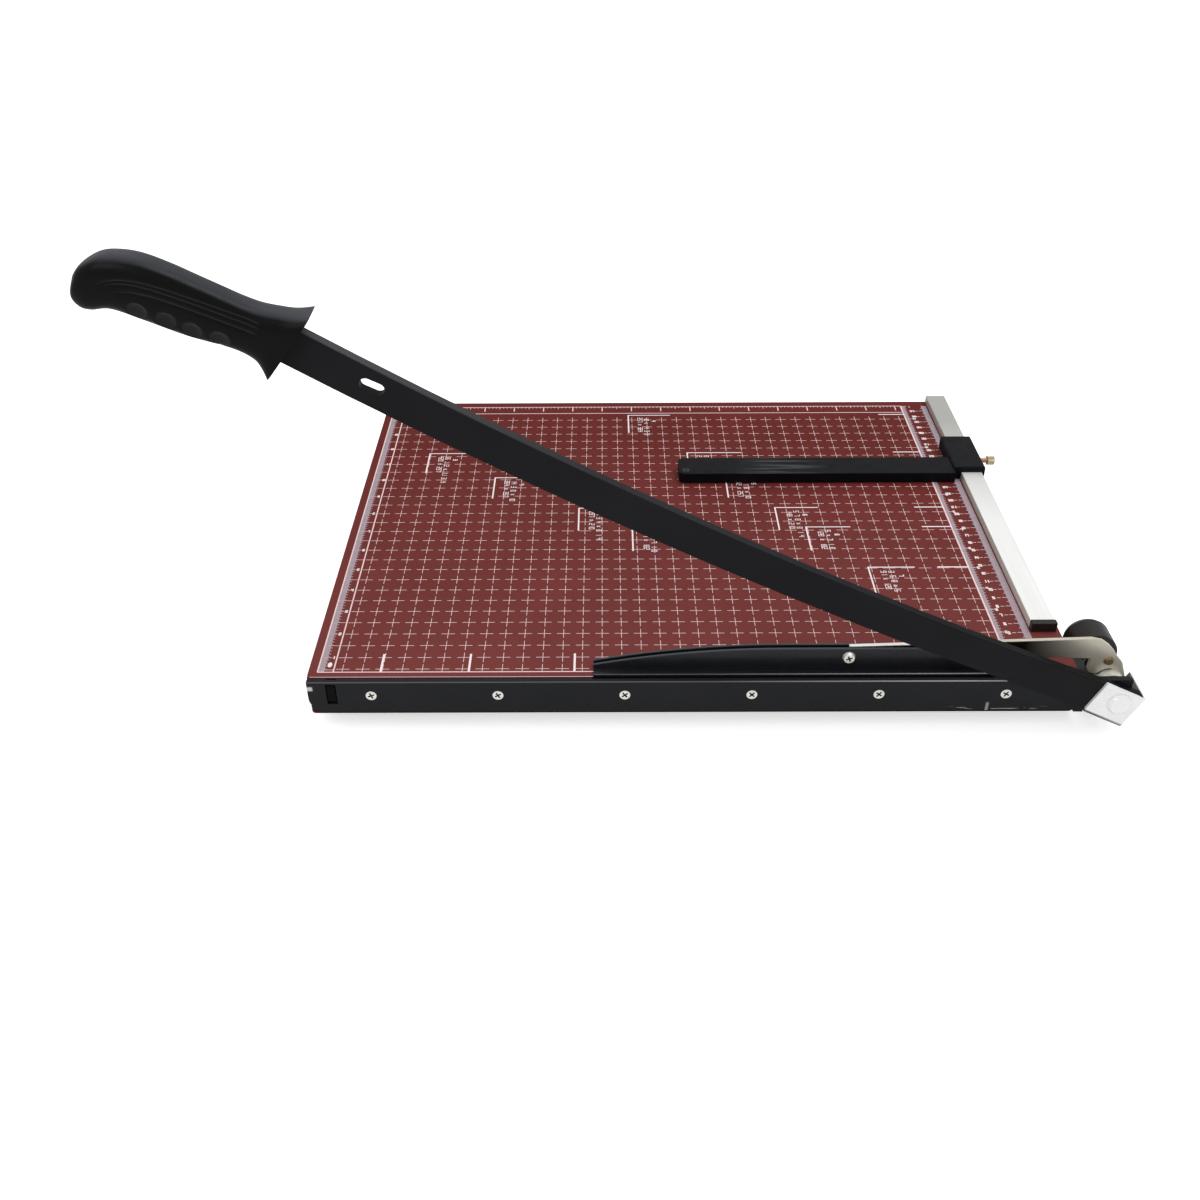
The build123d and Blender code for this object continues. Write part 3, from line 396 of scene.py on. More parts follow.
handle_look = finish("handle_black", HANDLE_BLACK, 0.36, vary=0.08, vary_scale=40.0, specular=0.11,
                     bump_scale=1600.0, bump_strength=0.12)
grip_u, grip_v = handle_look.arm_axes()
on_side = handle_look.ease(handle_look.apart(handle_look.axis("Y"), ARM_MIDDLE), *SIDE_FROM)
# painted sheen on the faces that look up
handle_look.over(handle_look.ease(handle_look.facing_up(), *SHEEN_TURNED_UP), HANDLE_TOP_SHEEN)
# painted highlight: the fine lines are painted lighter than the black grip
for near, far, drop, end in GROOVES:
    share = handle_look.ease(grip_u, GROOVE_FROM, end)
    bend = handle_look.product(handle_look.maths("POWER", share, GROOVE_BEND), drop)
    fall = handle_look.plus(handle_look.product(share, near - far), bend)
    away = handle_look.apart(handle_look.minus(near, grip_v), fall)
    along_grip = handle_look.product(handle_look.ease(grip_u, *GROOVE_START),
                                     handle_look.ease(grip_u, end, end - GROOVE_FADE))
    line = handle_look.product(handle_look.ease(away, *GROOVE_HALF), along_grip, on_side)
    handle_look.over(line, GROOVE_HIGHLIGHT)
for hollow_u, hollow_v in HOLLOWS:
    du = handle_look.maths("DIVIDE", handle_look.minus(grip_u, hollow_u), HOLLOW_LONG)
    dv = handle_look.maths("DIVIDE", handle_look.minus(grip_v, hollow_v), HOLLOW_HIGH)
    inside = handle_look.ease(handle_look.squares(du, dv), *HOLLOW_RIM)
    handle_look.over(handle_look.product(inside, on_side), HOLLOW_GREY)

# ------------------------------------------------------------------ side guide
GUIDE_BLACK = colour(12, 13, 19)
GUIDE_SCUFF = colour(92, 94, 100)
GUIDE_DIMPLE_HIGHLIGHT = colour(70, 76, 84)
GUIDE_SCUFFED = (("X", -176.0, -152.0), ("X", -100.0, -128.0), ("Z", 8.2, 8.4))
GUIDE_DIMPLE = (("X", -216.4, -215.0), ("X", -210.6, -212.0), ("Y", 251.0, 252.4), ("Y", 256.2, 254.8))
SCUFF_SCALE = 100.0
SCUFF_DETAIL = 3.0
SCUFF_STRETCH = (0.12, 5.0, 1.0)
SCUFF_NOISE = (0.52, 0.68)

guide_look = finish("guide_black", GUIDE_BLACK, 0.46, vary=0.12, vary_scale=45.0, specular=0.09,
                    edge=0.0005)
scuffs = guide_look.ease(guide_look.noise(SCUFF_SCALE, SCUFF_DETAIL, SCUFF_STRETCH), *SCUFF_NOISE)
guide_look.over(guide_look.product(scuffs, guide_look.patch(*GUIDE_SCUFFED)), GUIDE_SCUFF)
# painted highlight on a small dimple near the guide's left end
guide_look.mark(GUIDE_DIMPLE, GUIDE_DIMPLE_HIGHLIGHT)

# ------------------------------------------------------------------ clamp lever
# nickel with a painted highlight towards its far left end and a painted dark reflection on its face
# below the upper edge where it leaves the arm, and painted shade in a dark line and a ring round the
# spacer's rim near the stud
NICKEL = colour(212, 205, 188)
LEVER_FAR_HIGHLIGHT = colour(246, 245, 240)
LEVER_DARK_REFLECTION = colour(34, 31, 28)
LEVER_GAP_SHADE = colour(44, 40, 34)
LEVER_FAR_X = (-30.0, -60.0)
# the straight upper edge: its rise over the print at x = 0 and its slope
LEVER_RISE = 20.94
LEVER_SLOPE = 0.03505
LEVER_DARK_UP = (-0.2, -0.6)
LEVER_DARK_X = (27.0, -14.0)
GAP_SHADE_SPAN = (("X", 32.4, 33.2), ("X", 37.4, 36.4))
GAP_SHADE_X = 32.8
GAP_SHADE_Z = -6.4
GAP_SHADE_SLOPE = 0.336
GAP_SHADE_HALF = (0.5, 0.3)
SPACER_RIM_SHADOW = (("X", 35.4, 36.4), ("X", 45.4, 43.4))
SPACER_SHADOW_R = 10.1
SPACER_SHADOW_HALF = (0.6, 0.4)

lever_look = finish("nickel", NICKEL, 0.34, metal=0.5, vary=0.08, vary_scale=40.0, stretch=(0.3, 1, 1),
                    edge=0.0004)
# painted highlight towards the lever's far left end
lever_look.over(lever_look.reach("X", *LEVER_FAR_X), LEVER_FAR_HIGHLIGHT)
# painted dark reflection on the lever's face below its upper edge
lever_line = lever_look.product(lever_look.axis("X"), LEVER_SLOPE)
lever_high = lever_look.minus(lever_look.minus(lever_look.axis("Z"), lever_line), LEVER_RISE)
lever_dark_reflection = lever_look.product(lever_look.ease(lever_high, *LEVER_DARK_UP),
                                lever_look.reach("X", *LEVER_DARK_X))
lever_look.over(lever_dark_reflection, LEVER_DARK_REFLECTION)
# painted shade: a dark line along the gap between the spacer's rim and the lever
gap_shade_rise = lever_look.product(lever_look.minus(lever_look.axis("X"), GAP_SHADE_X), GAP_SHADE_SLOPE)
gap_shade_away = lever_look.apart(lever_look.minus(lever_look.axis("Z"), GAP_SHADE_Z), gap_shade_rise)
gap_shade = lever_look.product(lever_look.ease(gap_shade_away, *GAP_SHADE_HALF), lever_look.patch(*GAP_SHADE_SPAN))
lever_look.over(gap_shade, LEVER_GAP_SHADE)
# painted shadow: a dark ring on the lever just outside the spacer's rim
shadow_x = lever_look.minus(lever_look.axis("X"), PIVOT_X)
shadow_z = lever_look.minus(lever_look.axis("Z"), PIVOT_Z)
shadow_out = lever_look.maths("POWER", lever_look.squares(shadow_x, shadow_z), 0.5)
shadow_away = lever_look.apart(shadow_out, SPACER_SHADOW_R)
spacer_shadow = lever_look.product(lever_look.ease(shadow_away, *SPACER_SHADOW_HALF), lever_look.patch(*SPACER_RIM_SHADOW))
lever_look.over(spacer_shadow, LEVER_GAP_SHADE)

# ------------------------------------------------------------------ tail plate
# painted shade: the bright plate darkens along its lower edge and at a fold near its end
BRIGHT = colour(252, 252, 252)
TAIL_LOW_SHADE = colour(150, 148, 144)
TAIL_LOWEST_SHADE = colour(86, 82, 78)
TAIL_FOLD_SHADE = colour(128, 138, 130)
TAIL_LOW_V = (-12.4, -13.4)
TAIL_LOWEST_V = (-12.8, -13.6)
TAIL_LOWEST_U = (-8.0, 8.0)
TAIL_FOLD_FROM = (-12.6, -12.3)
TAIL_FOLD_TO = (-11.4, -11.8)
TAIL_FOLD_Y = (-6.4, -5.6)

tail_look = finish("bright_nickel", BRIGHT, 0.3, metal=0.25, vary=0.03, vary_scale=60.0,
                   stretch=(0.3, 1, 1), bump_strength=0.015, edge=0.0004)
tail_u, tail_v = tail_look.arm_axes()
tail_look.over(tail_look.ease(tail_v, *TAIL_LOW_V), TAIL_LOW_SHADE)
tail_lowest = tail_look.product(tail_look.ease(tail_v, *TAIL_LOWEST_V),
                                tail_look.ease(tail_u, *TAIL_LOWEST_U))
tail_look.over(tail_lowest, TAIL_LOWEST_SHADE)
tail_fold = tail_look.product(tail_look.ease(tail_u, *TAIL_FOLD_FROM),
                              tail_look.ease(tail_u, *TAIL_FOLD_TO),
                              tail_look.reach("Y", *TAIL_FOLD_Y))
tail_look.over(tail_fold, TAIL_FOLD_SHADE)

# ------------------------------------------------------------------ ruler bar
# painted shade: darker towards the back and on its side
ALUMINIUM = colour(248, 248, 247)
RULER_BACK_SHADE = colour(178, 178, 173)
RULER_SIDE_SHADE = colour(214, 210, 198)
RULER_SIDE_BACK_SHADE = colour(168, 158, 148)
RULER_FLANK = (("X", 3.3, 3.1), ("Z", 5.9, 5.5))
RULER_FLANK_BACK = RULER_FLANK + (("Y", 90.0, 300.0),)
RULER_BACK_Y = (180.0, 340.0)

ruler_look = finish("aluminium", ALUMINIUM, 0.4, metal=0.2, vary=0.03, vary_scale=30.0,
                    stretch=(8, 0.2, 1), bump_strength=0.05, edge=0.0003)
ruler_look.over(ruler_look.reach("Y", *RULER_BACK_Y), RULER_BACK_SHADE)
ruler_look.mark(RULER_FLANK, RULER_SIDE_SHADE)
ruler_look.mark(RULER_FLANK_BACK, RULER_SIDE_BACK_SHADE)

# ------------------------------------------------------------------ small parts
CAP_BLACK = colour(34, 29, 28)
BRACKET_BLACK = colour(28, 28, 30)
ZINC = colour(246, 246, 240)
PIT_SHADE_GREY = colour(60, 58, 56)
BLACKENED = colour(44, 44, 44)
LOCK_BLACK = colour(9, 9, 10)
BRASS = colour(200, 190, 158)
BRASS_SHANK = colour(178, 124, 102)
BRASS_SHANK_X = (28.8, 28.4)
STUD_BRASS = colour(138, 116, 84)
RUBBER = colour(30, 29, 29)

cap_look = finish("cap_black", CAP_BLACK, 0.4, vary=0.12, vary_scale=60.0, specular=0.3)
bracket_look = finish("bracket_black", BRACKET_BLACK, 0.55, vary=0.15, vary_scale=90.0,
                      bump_scale=500.0, bump_strength=0.35, specular=0.25)
screw_look = finish("zinc", ZINC, 0.34, metal=0.55, vary=0.06, vary_scale=200.0)
# painted shade: the cross-shaped pits of the screw heads are painted dark
pit_shade_look = finish("screw_pit_shade", PIT_SHADE_GREY, 0.5, metal=0.3, vary=0.1, vary_scale=200.0)
dark_look = finish("blackened", BLACKENED, 0.4, metal=0.6, vary=0.1, vary_scale=200.0)
lock_look = finish("lock_black", LOCK_BLACK, 0.5, vary=0.1, vary_scale=200.0, specular=0.06)
brass_look = finish("brass", BRASS, 0.34, metal=0.6, vary=0.08, vary_scale=200.0)
brass_look.over(brass_look.reach("X", *BRASS_SHANK_X), BRASS_SHANK)
stud_look = finish("stud_brass", STUD_BRASS, 0.4, metal=0.6, vary=0.1, vary_scale=200.0)
rubber_look = finish("rubber", RUBBER, 0.8, vary=0.15, vary_scale=80.0, bump_scale=600.0,
                     bump_strength=0.3)

put(sheet_look, "top_sheet")
put(board_look, "base_board")
put(arm_look, "blade_arm")
put(rail_look, "fixed_blade")
put(bar_look, "clamp_bar")
put(handle_look, "handle")
put(guide_look, "side_guide", "slider_block")
put(cap_look, "spring_cap", "ruler_end_cap", "slider_pad")
put(bracket_look, "pivot_bracket")
put(lever_look, "clamp_lever")
put(tail_look, "tail_plate", "tail_rivets", "pivot_bolt")
put(screw_look, "blade_screws", "clamp_screws", "pivot_spacer", "pivot_washers", "pivot_nut",
    "ruler_bar_screws", "foot_screws")
put(dark_look, "bracket_screws", "guide_screws")
put(lock_look, "arm_lock", "lock_pin")
put(ruler_look, "ruler_bar")
put(brass_look, "thumb_screw")
put(stud_look, "lever_stud")
put(rubber_look, "rubber_feet", "pivot_spring")


# ------------------------------------------------------------------ pieces that the scene adds
def link_mesh(name, points, faces):
    mesh = bpy.data.meshes.new(name)
    mesh.from_pydata([tuple(point) for point in points], [], faces)
    mesh.validate()
    mesh.update()
    obj = bpy.data.objects.new(name, mesh)
    bpy.context.scene.collection.objects.link(obj)
    return obj


def new_piece(name, points, faces, look, body, slot):
    obj = link_mesh(name, points, faces)
    obj.data.materials.append(look.material)
    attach(obj, body)
    return obj


# ------------------------------------------------------------------ handle mesh
# lofted between its two edges: (u, v) of the upper and the lower edge and the half width at eleven
# stations, guard first
HANDLE_STATIONS = [
    ((536.8, 23.2), (545.7, -19.6), 12.4),
    ((542.8, 20.2), (550.3, -15.6), 12.1),
    ((551.0, 17.5), (556.5, -12.3), 11.8),
    ((566.0, 14.3), (568.0, -11.6), 11.5),
    ((590.0, 14.3), (590.0, -15.0), 11.6),
    ((610.0, 14.5), (612.0, -16.3), 12.0),
    ((625.0, 13.4), (629.0, -17.7), 12.2),
    ((636.0, 10.1), (638.0, -22.6), 12.0),
    ((643.6, 5.5), (644.0, -23.8), 10.9),
    ((649.6, -2.6), (649.3, -20.8), 8.2),
    ((651.8, -9.6), (651.6, -13.4), 2.4),
]
HANDLE_RINGS = 170
HANDLE_POINTS = 200
GUARD_SHRINK = 0.93
# power that squares the section off, less of it at the guard and more at the round end
GRIP_SQUARE = 0.62
GUARD_SQUARE = 0.3
GUARD_SPREAD = 0.12
END_ROUND = 0.25
END_FROM = 0.75
# the cuts of the fine lines and hollows, and what they leave of the width
GROOVE_WIDE = 0.7
GROOVE_DEEP = 0.6
GROOVE_RUN_IN = 4
GROOVE_SIDE = 0.8
HOLLOW_DEEP = 1.7
HOLLOW_EDGE = 0.6
THINNEST = 0.2
RIDGE = 0.05


def curve(points, t):
    """Smooth curve through evenly numbered points, t from 0 to 1."""
    last = len(points) - 1
    i = min(int(t * last), last - 1)
    f = t * last - i
    p0, p1, p2, p3 = (points[max(0, min(last, k))] for k in (i - 1, i, i + 1, i + 2))
    return tuple(
        0.5 * (2 * b + (c - a) * f + (2 * a - 5 * b + 4 * c - d) * f ** 2
               + (3 * b - a - 3 * c + d) * f ** 3)
        for a, b, c, d in zip(p0, p1, p2, p3)
    )


def round_power(value, power):
    return math.copysign(abs(value) ** power, value)


def bell(distance, width):
    return math.exp(-(distance / width) ** 2)


def groove_inset(u, v):
    """How deep the fine lines cut into the side of the grip at one place."""
    inset = 0.0
    for near, far, drop, end in GROOVES:
        if GROOVE_FROM < u < end:
            share = (u - GROOVE_FROM) / (end - GROOVE_FROM)
            fade = min(1.0, (u - GROOVE_FROM) / GROOVE_RUN_IN, (end - u) / GROOVE_RUN_IN)
            middle = near + (far - near) * share - drop * share ** GROOVE_BEND
            inset += GROOVE_DEEP * fade * bell(v - middle, GROOVE_WIDE)
    return inset


def hollow_inset(u, v, across):
    """How deep the finger hollows cut into the side of the grip at one place."""
    inset = 0.0
    for hollow_u, hollow_v in HOLLOWS:
        place = ((u - hollow_u) / HOLLOW_LONG) ** 2 + ((v - hollow_v) / HOLLOW_HIGH) ** 2
        if place < 1.0:
            inset += HOLLOW_DEEP * abs(across) ** 0.5 * (1.0 - place) ** HOLLOW_EDGE
    return inset


def handle_ring(t, rim):
    """One closed ring of the grip, t from 0 at the guard to 1 at its end."""
    upper = curve([station[0] for station in HANDLE_STATIONS], t)
    lower = curve([station[1] for station in HANDLE_STATIONS], t)
    half = curve([(station[2],) for station in HANDLE_STATIONS], t)[0]
    square = GRIP_SQUARE - GUARD_SQUARE * bell(t, GUARD_SPREAD) + END_ROUND * max(0.0, t - END_FROM)
    middle = ((upper[0] + lower[0]) / 2, (upper[1] + lower[1]) / 2)
    reach = ((upper[0] - lower[0]) / 2, (upper[1] - lower[1]) / 2)
    ring = []
    for k in range(HANDLE_POINTS):
        turn = math.tau * k / HANDLE_POINTS
        across = round_power(math.cos(turn), square) * rim
        up = round_power(math.sin(turn), square) * rim
        u = middle[0] + reach[0] * up
        v = middle[1] + reach[1] * up
        wide = half * abs(across)
        if abs(across) > RIDGE:
            groove = groove_inset(u, v) if abs(across) > GROOVE_SIDE else 0.0
            wide = max(THINNEST, wide - (groove + hollow_inset(u, v, across)))
        ring.append(arm_spot(u, ARM_MIDDLE + math.copysign(wide, across), v))
    return ring


def handle_mesh():
    points = []
    faces = []
    for ring in range(HANDLE_RINGS):
        points += handle_ring(ring / (HANDLE_RINGS - 1), 1.0 if ring else GUARD_SHRINK)
    for ring in range(HANDLE_RINGS - 1):
        a = ring * HANDLE_POINTS
        b = a + HANDLE_POINTS
        for k in range(HANDLE_POINTS):
            n = (k + 1) % HANDLE_POINTS
            faces.append((a + k, a + n, b + n, b + k))
    faces.append(tuple(range(HANDLE_POINTS)))
    start = (HANDLE_RINGS - 1) * HANDLE_POINTS
    faces.append(tuple(start + k for k in reversed(range(HANDLE_POINTS))))
    return points, faces


handle = new_piece("handle_sculpted", *handle_mesh(), handle_look, "arm", "handle_plastic")
handle.data.polygons.foreach_set("use_smooth", [True] * len(handle.data.polygons))
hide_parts("handle")

# ------------------------------------------------------------------ cross-head screws
# radius of the flat top, its height over the face, radius where the side meets the face, width and
# depth of the cross
ScrewHead = namedtuple("ScrewHead", "radius rise rim slot deep")
BLADE_HEAD = ScrewHead(radius=3.4, rise=0.02, rim=3.62, slot=1.1, deep=1.2)
CLAMP_HEAD = ScrewHead(radius=3.3, rise=2.15, rim=4.1, slot=1.1, deep=1.4)
BLADE_SCREW_X = -425.5
BLADE_SCREW_PITCH = 80.2
BLADE_SCREW_Z = -10.8
BLADE_SCREW_SPOTS = [(BLADE_SCREW_X + BLADE_SCREW_PITCH * i, BLADE_SCREW_Z) for i in range(6)]
BLADE_FACE = 0.0
CLAMP_SCREW_SPOTS = [(-124.0, 9.7), (-55.0, 10.8)]
CLAMP_FACE = 12.2
FRONTWARD = Vector((0, -1, 0))
SCREW_SIDES = 28
SCREW_BACK = -0.4
CROSS_REACH = 0.66
CROSS_TAPER = 0.8
FIRST_TURN = 0.4
NEXT_TURN = 1.7


def cross_head(points, faces, centre, turn, head):
    """Head of one screw: a flat top with a cross-shaped pit and a side that runs back to its rim.

    Gives the places of the pit's faces.
    """
    across = Vector((math.cos(turn), 0, math.sin(turn)))
    up = Vector((-math.sin(turn), 0, math.cos(turn)))

    def add(a, b, c):
        points.append(centre + (across * a + up * b + FRONTWARD * c) * MM)
        return len(points) - 1

    def circle(radius, height):
        turns = [math.tau * i / SCREW_SIDES for i in range(SCREW_SIDES)]
        return [add(radius * math.cos(t), radius * math.sin(t), height) for t in turns]

    tip = head.radius * CROSS_REACH
    half = head.slot / 2
    outline = [
        (tip, half), (half, half), (half, tip), (-half, tip), (-half, half), (-tip, half),
        (-tip, -half), (-half, -half), (-half, -tip), (half, -tip), (half, -half), (tip, -half),
    ]
    corners = len(outline)
    top = [add(a, b, head.rise) for a, b in outline]
    low = [add(a * CROSS_TAPER, b * CROSS_TAPER, head.rise - head.deep) for a, b in outline]
    ring = circle(head.radius, head.rise)
    back = circle(head.rim, SCREW_BACK)
    pit = range(len(faces), len(faces) + corners + 1)
    for i in range(corners):
        n = (i + 1) % corners
        faces.append((top[i], top[n], low[n], low[i]))
    faces.append(tuple(reversed(low)))
    for i in range(SCREW_SIDES):
        n = (i + 1) % SCREW_SIDES
        faces.append((ring[i], back[i], back[n], ring[n]))

    # flat top between the cross, whose corners come in order of their angle, and the rim
    angles = [math.atan2(b, a) % math.tau for a, b in outline]
    angles.append(angles[0] + math.tau)
    i = j = 0
    while i < corners or j < SCREW_SIDES:
        here = top[i % corners]
        there = ring[j % SCREW_SIDES]
        next_outer = math.tau * (j + 1) / SCREW_SIDES
        if j >= SCREW_SIDES or (i < corners and angles[i + 1] <= next_outer):
            i += 1
            faces.append((here, there, top[i % corners]))
        else:
            j += 1
            faces.append((here, there, ring[j % SCREW_SIDES]))
    return pit


def screws(name, spots, y, head, replaced, body):
    """The heads of all screws of one node, each cross turned in its own way."""
    points = []
    faces = []
    pits = []
    for index, (x, z) in enumerate(spots):
        pits += cross_head(points, faces, spot(x, y, z), FIRST_TURN + NEXT_TURN * index, head)
    obj = new_piece(name, points, faces, screw_look, body, "zinc_screw")
    obj.data.materials.append(pit_shade_look.material)
    for index in pits:
        obj.data.polygons[index].material_index = 1
    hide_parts(replaced)


screws("blade_screw_heads", BLADE_SCREW_SPOTS, BLADE_FACE, BLADE_HEAD, "blade_screws", "base")
screws("clamp_screw_heads", CLAMP_SCREW_SPOTS, CLAMP_FACE, CLAMP_HEAD, "clamp_screws", "clamp")

# ------------------------------------------------------------------ knurled thumb screw
# (x, radius) from the tip of the shank to the outer face of the knob
THUMB_PROFILE = [(20.1, 2.0), (28.6, 2.0), (28.7, 3.4), (29.0, 3.65), (34.1, 3.65), (34.45, 3.2)]
THUMB_Y = 276.0
THUMB_Z = 3.8
THUMB_SIDES = 56
KNURL_FROM = 3.0
KNURL_DEEP = 0.3


def turned(profile, y, z, sides):
    """A turned shape along x, with every second edge of its knob cut back."""
    points = []
    faces = []
    for x, full in profile:
        for k in range(sides):
            radius = full - (KNURL_DEEP if k % 2 and full > KNURL_FROM else 0.0)
            turn = math.tau * k / sides
            points.append(spot(x, y + radius * math.cos(turn), z + radius * math.sin(turn)))
    for ring in range(len(profile) - 1):
        a = ring * sides
        b = a + sides
        for k in range(sides):
            n = (k + 1) % sides
            faces.append((a + k, b + k, b + n, a + n))
    faces.append(tuple(range(sides)))
    last = (len(profile) - 1) * sides
    faces.append(tuple(last + k for k in reversed(range(sides))))
    return points, faces


thumb_mesh = turned(THUMB_PROFILE, THUMB_Y, THUMB_Z, THUMB_SIDES)
thumb = new_piece("thumb_screw_knurled", *thumb_mesh, brass_look, "thumb", "thumb_brass")
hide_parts("thumb_screw")

# ------------------------------------------------------------------ print on the sheet
# strokes of the plain digits, on a grid one wide and one high
BARS = {
    "top": (0, 1, 1, 1), "middle": (0, 0.5, 1, 0.5), "low": (0, 0, 1, 0),
    "left_high": (0, 0.5, 0, 1), "right_high": (1, 0.5, 1, 1),
    "left_low": (0, 0, 0, 0.5), "right_low": (1, 0, 1, 0.5),
}
DIGIT_BARS = {
    "0": "top low left_high right_high left_low right_low", "1": "right_high right_low",
    "2": "top middle low right_high left_low", "3": "top middle low right_high right_low",
    "4": "middle left_high right_high right_low", "5": "top middle low left_high right_low",
    "6": "top middle low left_high left_low right_low", "7": "top right_high right_low",
    "8": "top middle low left_high right_high left_low right_low",
    "9": "top middle low left_high right_high right_low",
}
STROKES = {digit: [BARS[bar] for bar in bars.split()] for digit, bars in DIGIT_BARS.items()}
STROKES["x"] = [(0.1, 0.1, 0.9, 0.7), (0.1, 0.7, 0.9, 0.1)]
DIGIT_PITCH = 0.78
DIGIT_WIDE = 0.5
DOT_SIDES = 10
LAYER = 0.004
LAYERS = 5


class Print:
    """Flat marks just above the sheet, gathered into one mesh."""

    def __init__(self, lift):
        self.points = []
        self.faces = []
        self.lift = lift

    def shape(self, corners):
        """One mark; crossing marks lie at slightly different heights."""
        start = len(self.points)
        height = self.lift + LAYER * (len(self.faces) % LAYERS)
        self.points += [spot(x, y, height) for x, y in corners]
        self.faces.append(tuple(range(start, len(self.points))))

    def strip(self, x0, y0, x1, y1):
        x0, x1 = sorted((x0, x1))
        y0, y1 = sorted((y0, y1))
        self.shape([(x0, y0), (x1, y0), (x1, y1), (x0, y1)])

    def across(self, x0, x1, y, width):
        """A line along x."""
        self.strip(x0, y - width / 2, x1, y + width / 2)

    def along(self, x, y0, y1, width):
        """A line along y, away from the front."""
        self.strip(x - width / 2, y0, x + width / 2, y1)

    def dot(self, x, y, radius_x, radius_y):
        turns = [math.tau * i / DOT_SIDES for i in range(DOT_SIDES)]
        self.shape([(x + radius_x * math.cos(turn), y + radius_y * math.sin(turn)) for turn in turns])

    def stroke(self, x0, y0, x1, y1, width):
        """A straight stroke in any direction, with square ends."""
        length = math.hypot(x1 - x0, y1 - y0)
        step_x = (x1 - x0) / length * width / 2
        step_y = (y1 - y0) / length * width / 2
        x0, y0, x1, y1 = x0 - step_x, y0 - step_y, x1 + step_x, y1 + step_y
        self.shape([(x0 + step_y, y0 - step_x), (x1 + step_y, y1 - step_x),
                    (x1 - step_y, y1 + step_x), (x0 - step_y, y0 + step_x)])

    def number(self, text, x, y, high, width, turn=0.0):
        """Plain digits; turn is the reading direction in radians from x."""
        step_x, step_y = math.cos(turn), math.sin(turn)
        for place, digit in enumerate(text):
            for a, b, c, d in STROKES.get(digit, ()):
                ends = []
                for p, q in ((a, b), (c, d)):
                    right = (place * DIGIT_PITCH + p * DIGIT_WIDE) * high
                    over = q * high
                    ends += [x + right * step_x - over * step_y, y + right * step_y + over * step_x]
                self.stroke(*ends, width)


# the layers of the print, by their height over the sheet
crosses = Print(0.02)
fine = Print(0.055)
lines = Print(0.09)
white = Print(0.12)
bold = Print(0.15)
labels = Print(0.18)

INCH = 25.4
MM_PER_CM = 10
BOARD_LEFT = -466.0
CLAMP_LEFT = -285.0
FRONT_LINE = 10.4
BACK_LINE = 380.0
BACK_BAND = 12.0
LEFT_OUTER = -460.0
LEFT_INNER = -450.0
RIGHT_INNER = -20.0
BAND_LEFT = -8.0
BAND_RIGHT = 0.0

# grid of crosses, with its front row a little nearer to the second one
GRID = INCH / 2
GRID_LEFT = -444.5
GRID_COLUMNS = 34
GRID_ROWS = 28
FRONT_ROW = 13.5
CROSS_X = 4.4
CROSS_Y = 4.9
CROSS_LINE = 0.44
CROSS_THIN = 0.8

for column in range(GRID_COLUMNS):
    for row in range(GRID_ROWS):
        x = GRID_LEFT + GRID * column
        y = GRID * (row + 1) if row else FRONT_ROW
        crosses.across(x - CROSS_X, x + CROSS_X, y, CROSS_LINE)
        crosses.along(x, max(y - CROSS_Y, FRONT_LINE), y + CROSS_Y, CROSS_LINE * CROSS_THIN)

# frame lines
FRAME_LINE = 0.9
RIGHT_LINE = 1.2
FRONT_EDGE_Y = 5.4
FRONT_EDGE_LINE = 0.5
CORNER_DOT = (-453.3, 17.9, 1.5, 2.6)

lines.across(LEFT_OUTER, BAND_RIGHT, FRONT_LINE, FRAME_LINE)
fine.across(BOARD_LEFT + 2.0, CLAMP_LEFT, FRONT_EDGE_Y, FRONT_EDGE_LINE)
white.dot(*CORNER_DOT)
lines.along(LEFT_OUTER, FRONT_LINE, BACK_LINE, FRAME_LINE)
lines.along(LEFT_INNER, FRONT_LINE, BACK_LINE - BACK_BAND, FRAME_LINE)
lines.across(LEFT_OUTER, RIGHT_INNER, BACK_LINE, FRAME_LINE)
lines.across(LEFT_OUTER, RIGHT_INNER - 1, BACK_LINE - BACK_BAND, FRAME_LINE)
lines.along(RIGHT_INNER, FRONT_LINE, BACK_LINE, RIGHT_LINE)

# inch rulers at the left and at the inner right, with fine ticks of 1/32 inch
INCHES = 14
TICK = 4.2
FOURTH_TICK = 5.4
TICK_LINE = 0.42
LEFT_INCH_LINE = 0.4
RIGHT_INCH_LINE = 0.5
LEFT_INCH_END = LEFT_INNER - 3.0
RIGHT_INCH_END = RIGHT_INNER + 6.5
LEFT_NUMBER = LEFT_INNER - 2.9
RIGHT_NUMBER = RIGHT_INNER + 6.2
NUMBER_DROP = 1.1
NUMBER_HIGH = 2.2
NUMBER_LINE = 0.75
SECOND_DIGIT = 0.9

tick = 0
y = FRONT_LINE
while y < BACK_LINE:
    length = TICK if tick % 4 else FOURTH_TICK
    fine.across(LEFT_OUTER, LEFT_OUTER + length, y, TICK_LINE)
    fine.across(RIGHT_INNER, RIGHT_INNER + length - 1.0, y, TICK_LINE)
    tick += 1
    y += INCH / 32
for inch in range(1, INCHES + 1):
    y = INCH * inch
    back = SECOND_DIGIT * (inch > 9)
    lines.across(LEFT_OUTER, LEFT_INCH_END, y, LEFT_INCH_LINE)
    white.number(str(inch), LEFT_NUMBER - back, y - NUMBER_DROP, NUMBER_HIGH, NUMBER_LINE)
    lines.across(RIGHT_INNER, RIGHT_INCH_END, y, RIGHT_INCH_LINE)
    white.number(str(inch), RIGHT_NUMBER - back, y - NUMBER_DROP, NUMBER_HIGH, NUMBER_LINE)
    lines.across(LEFT_OUTER, LEFT_INNER, y - GRID, LEFT_INCH_LINE)

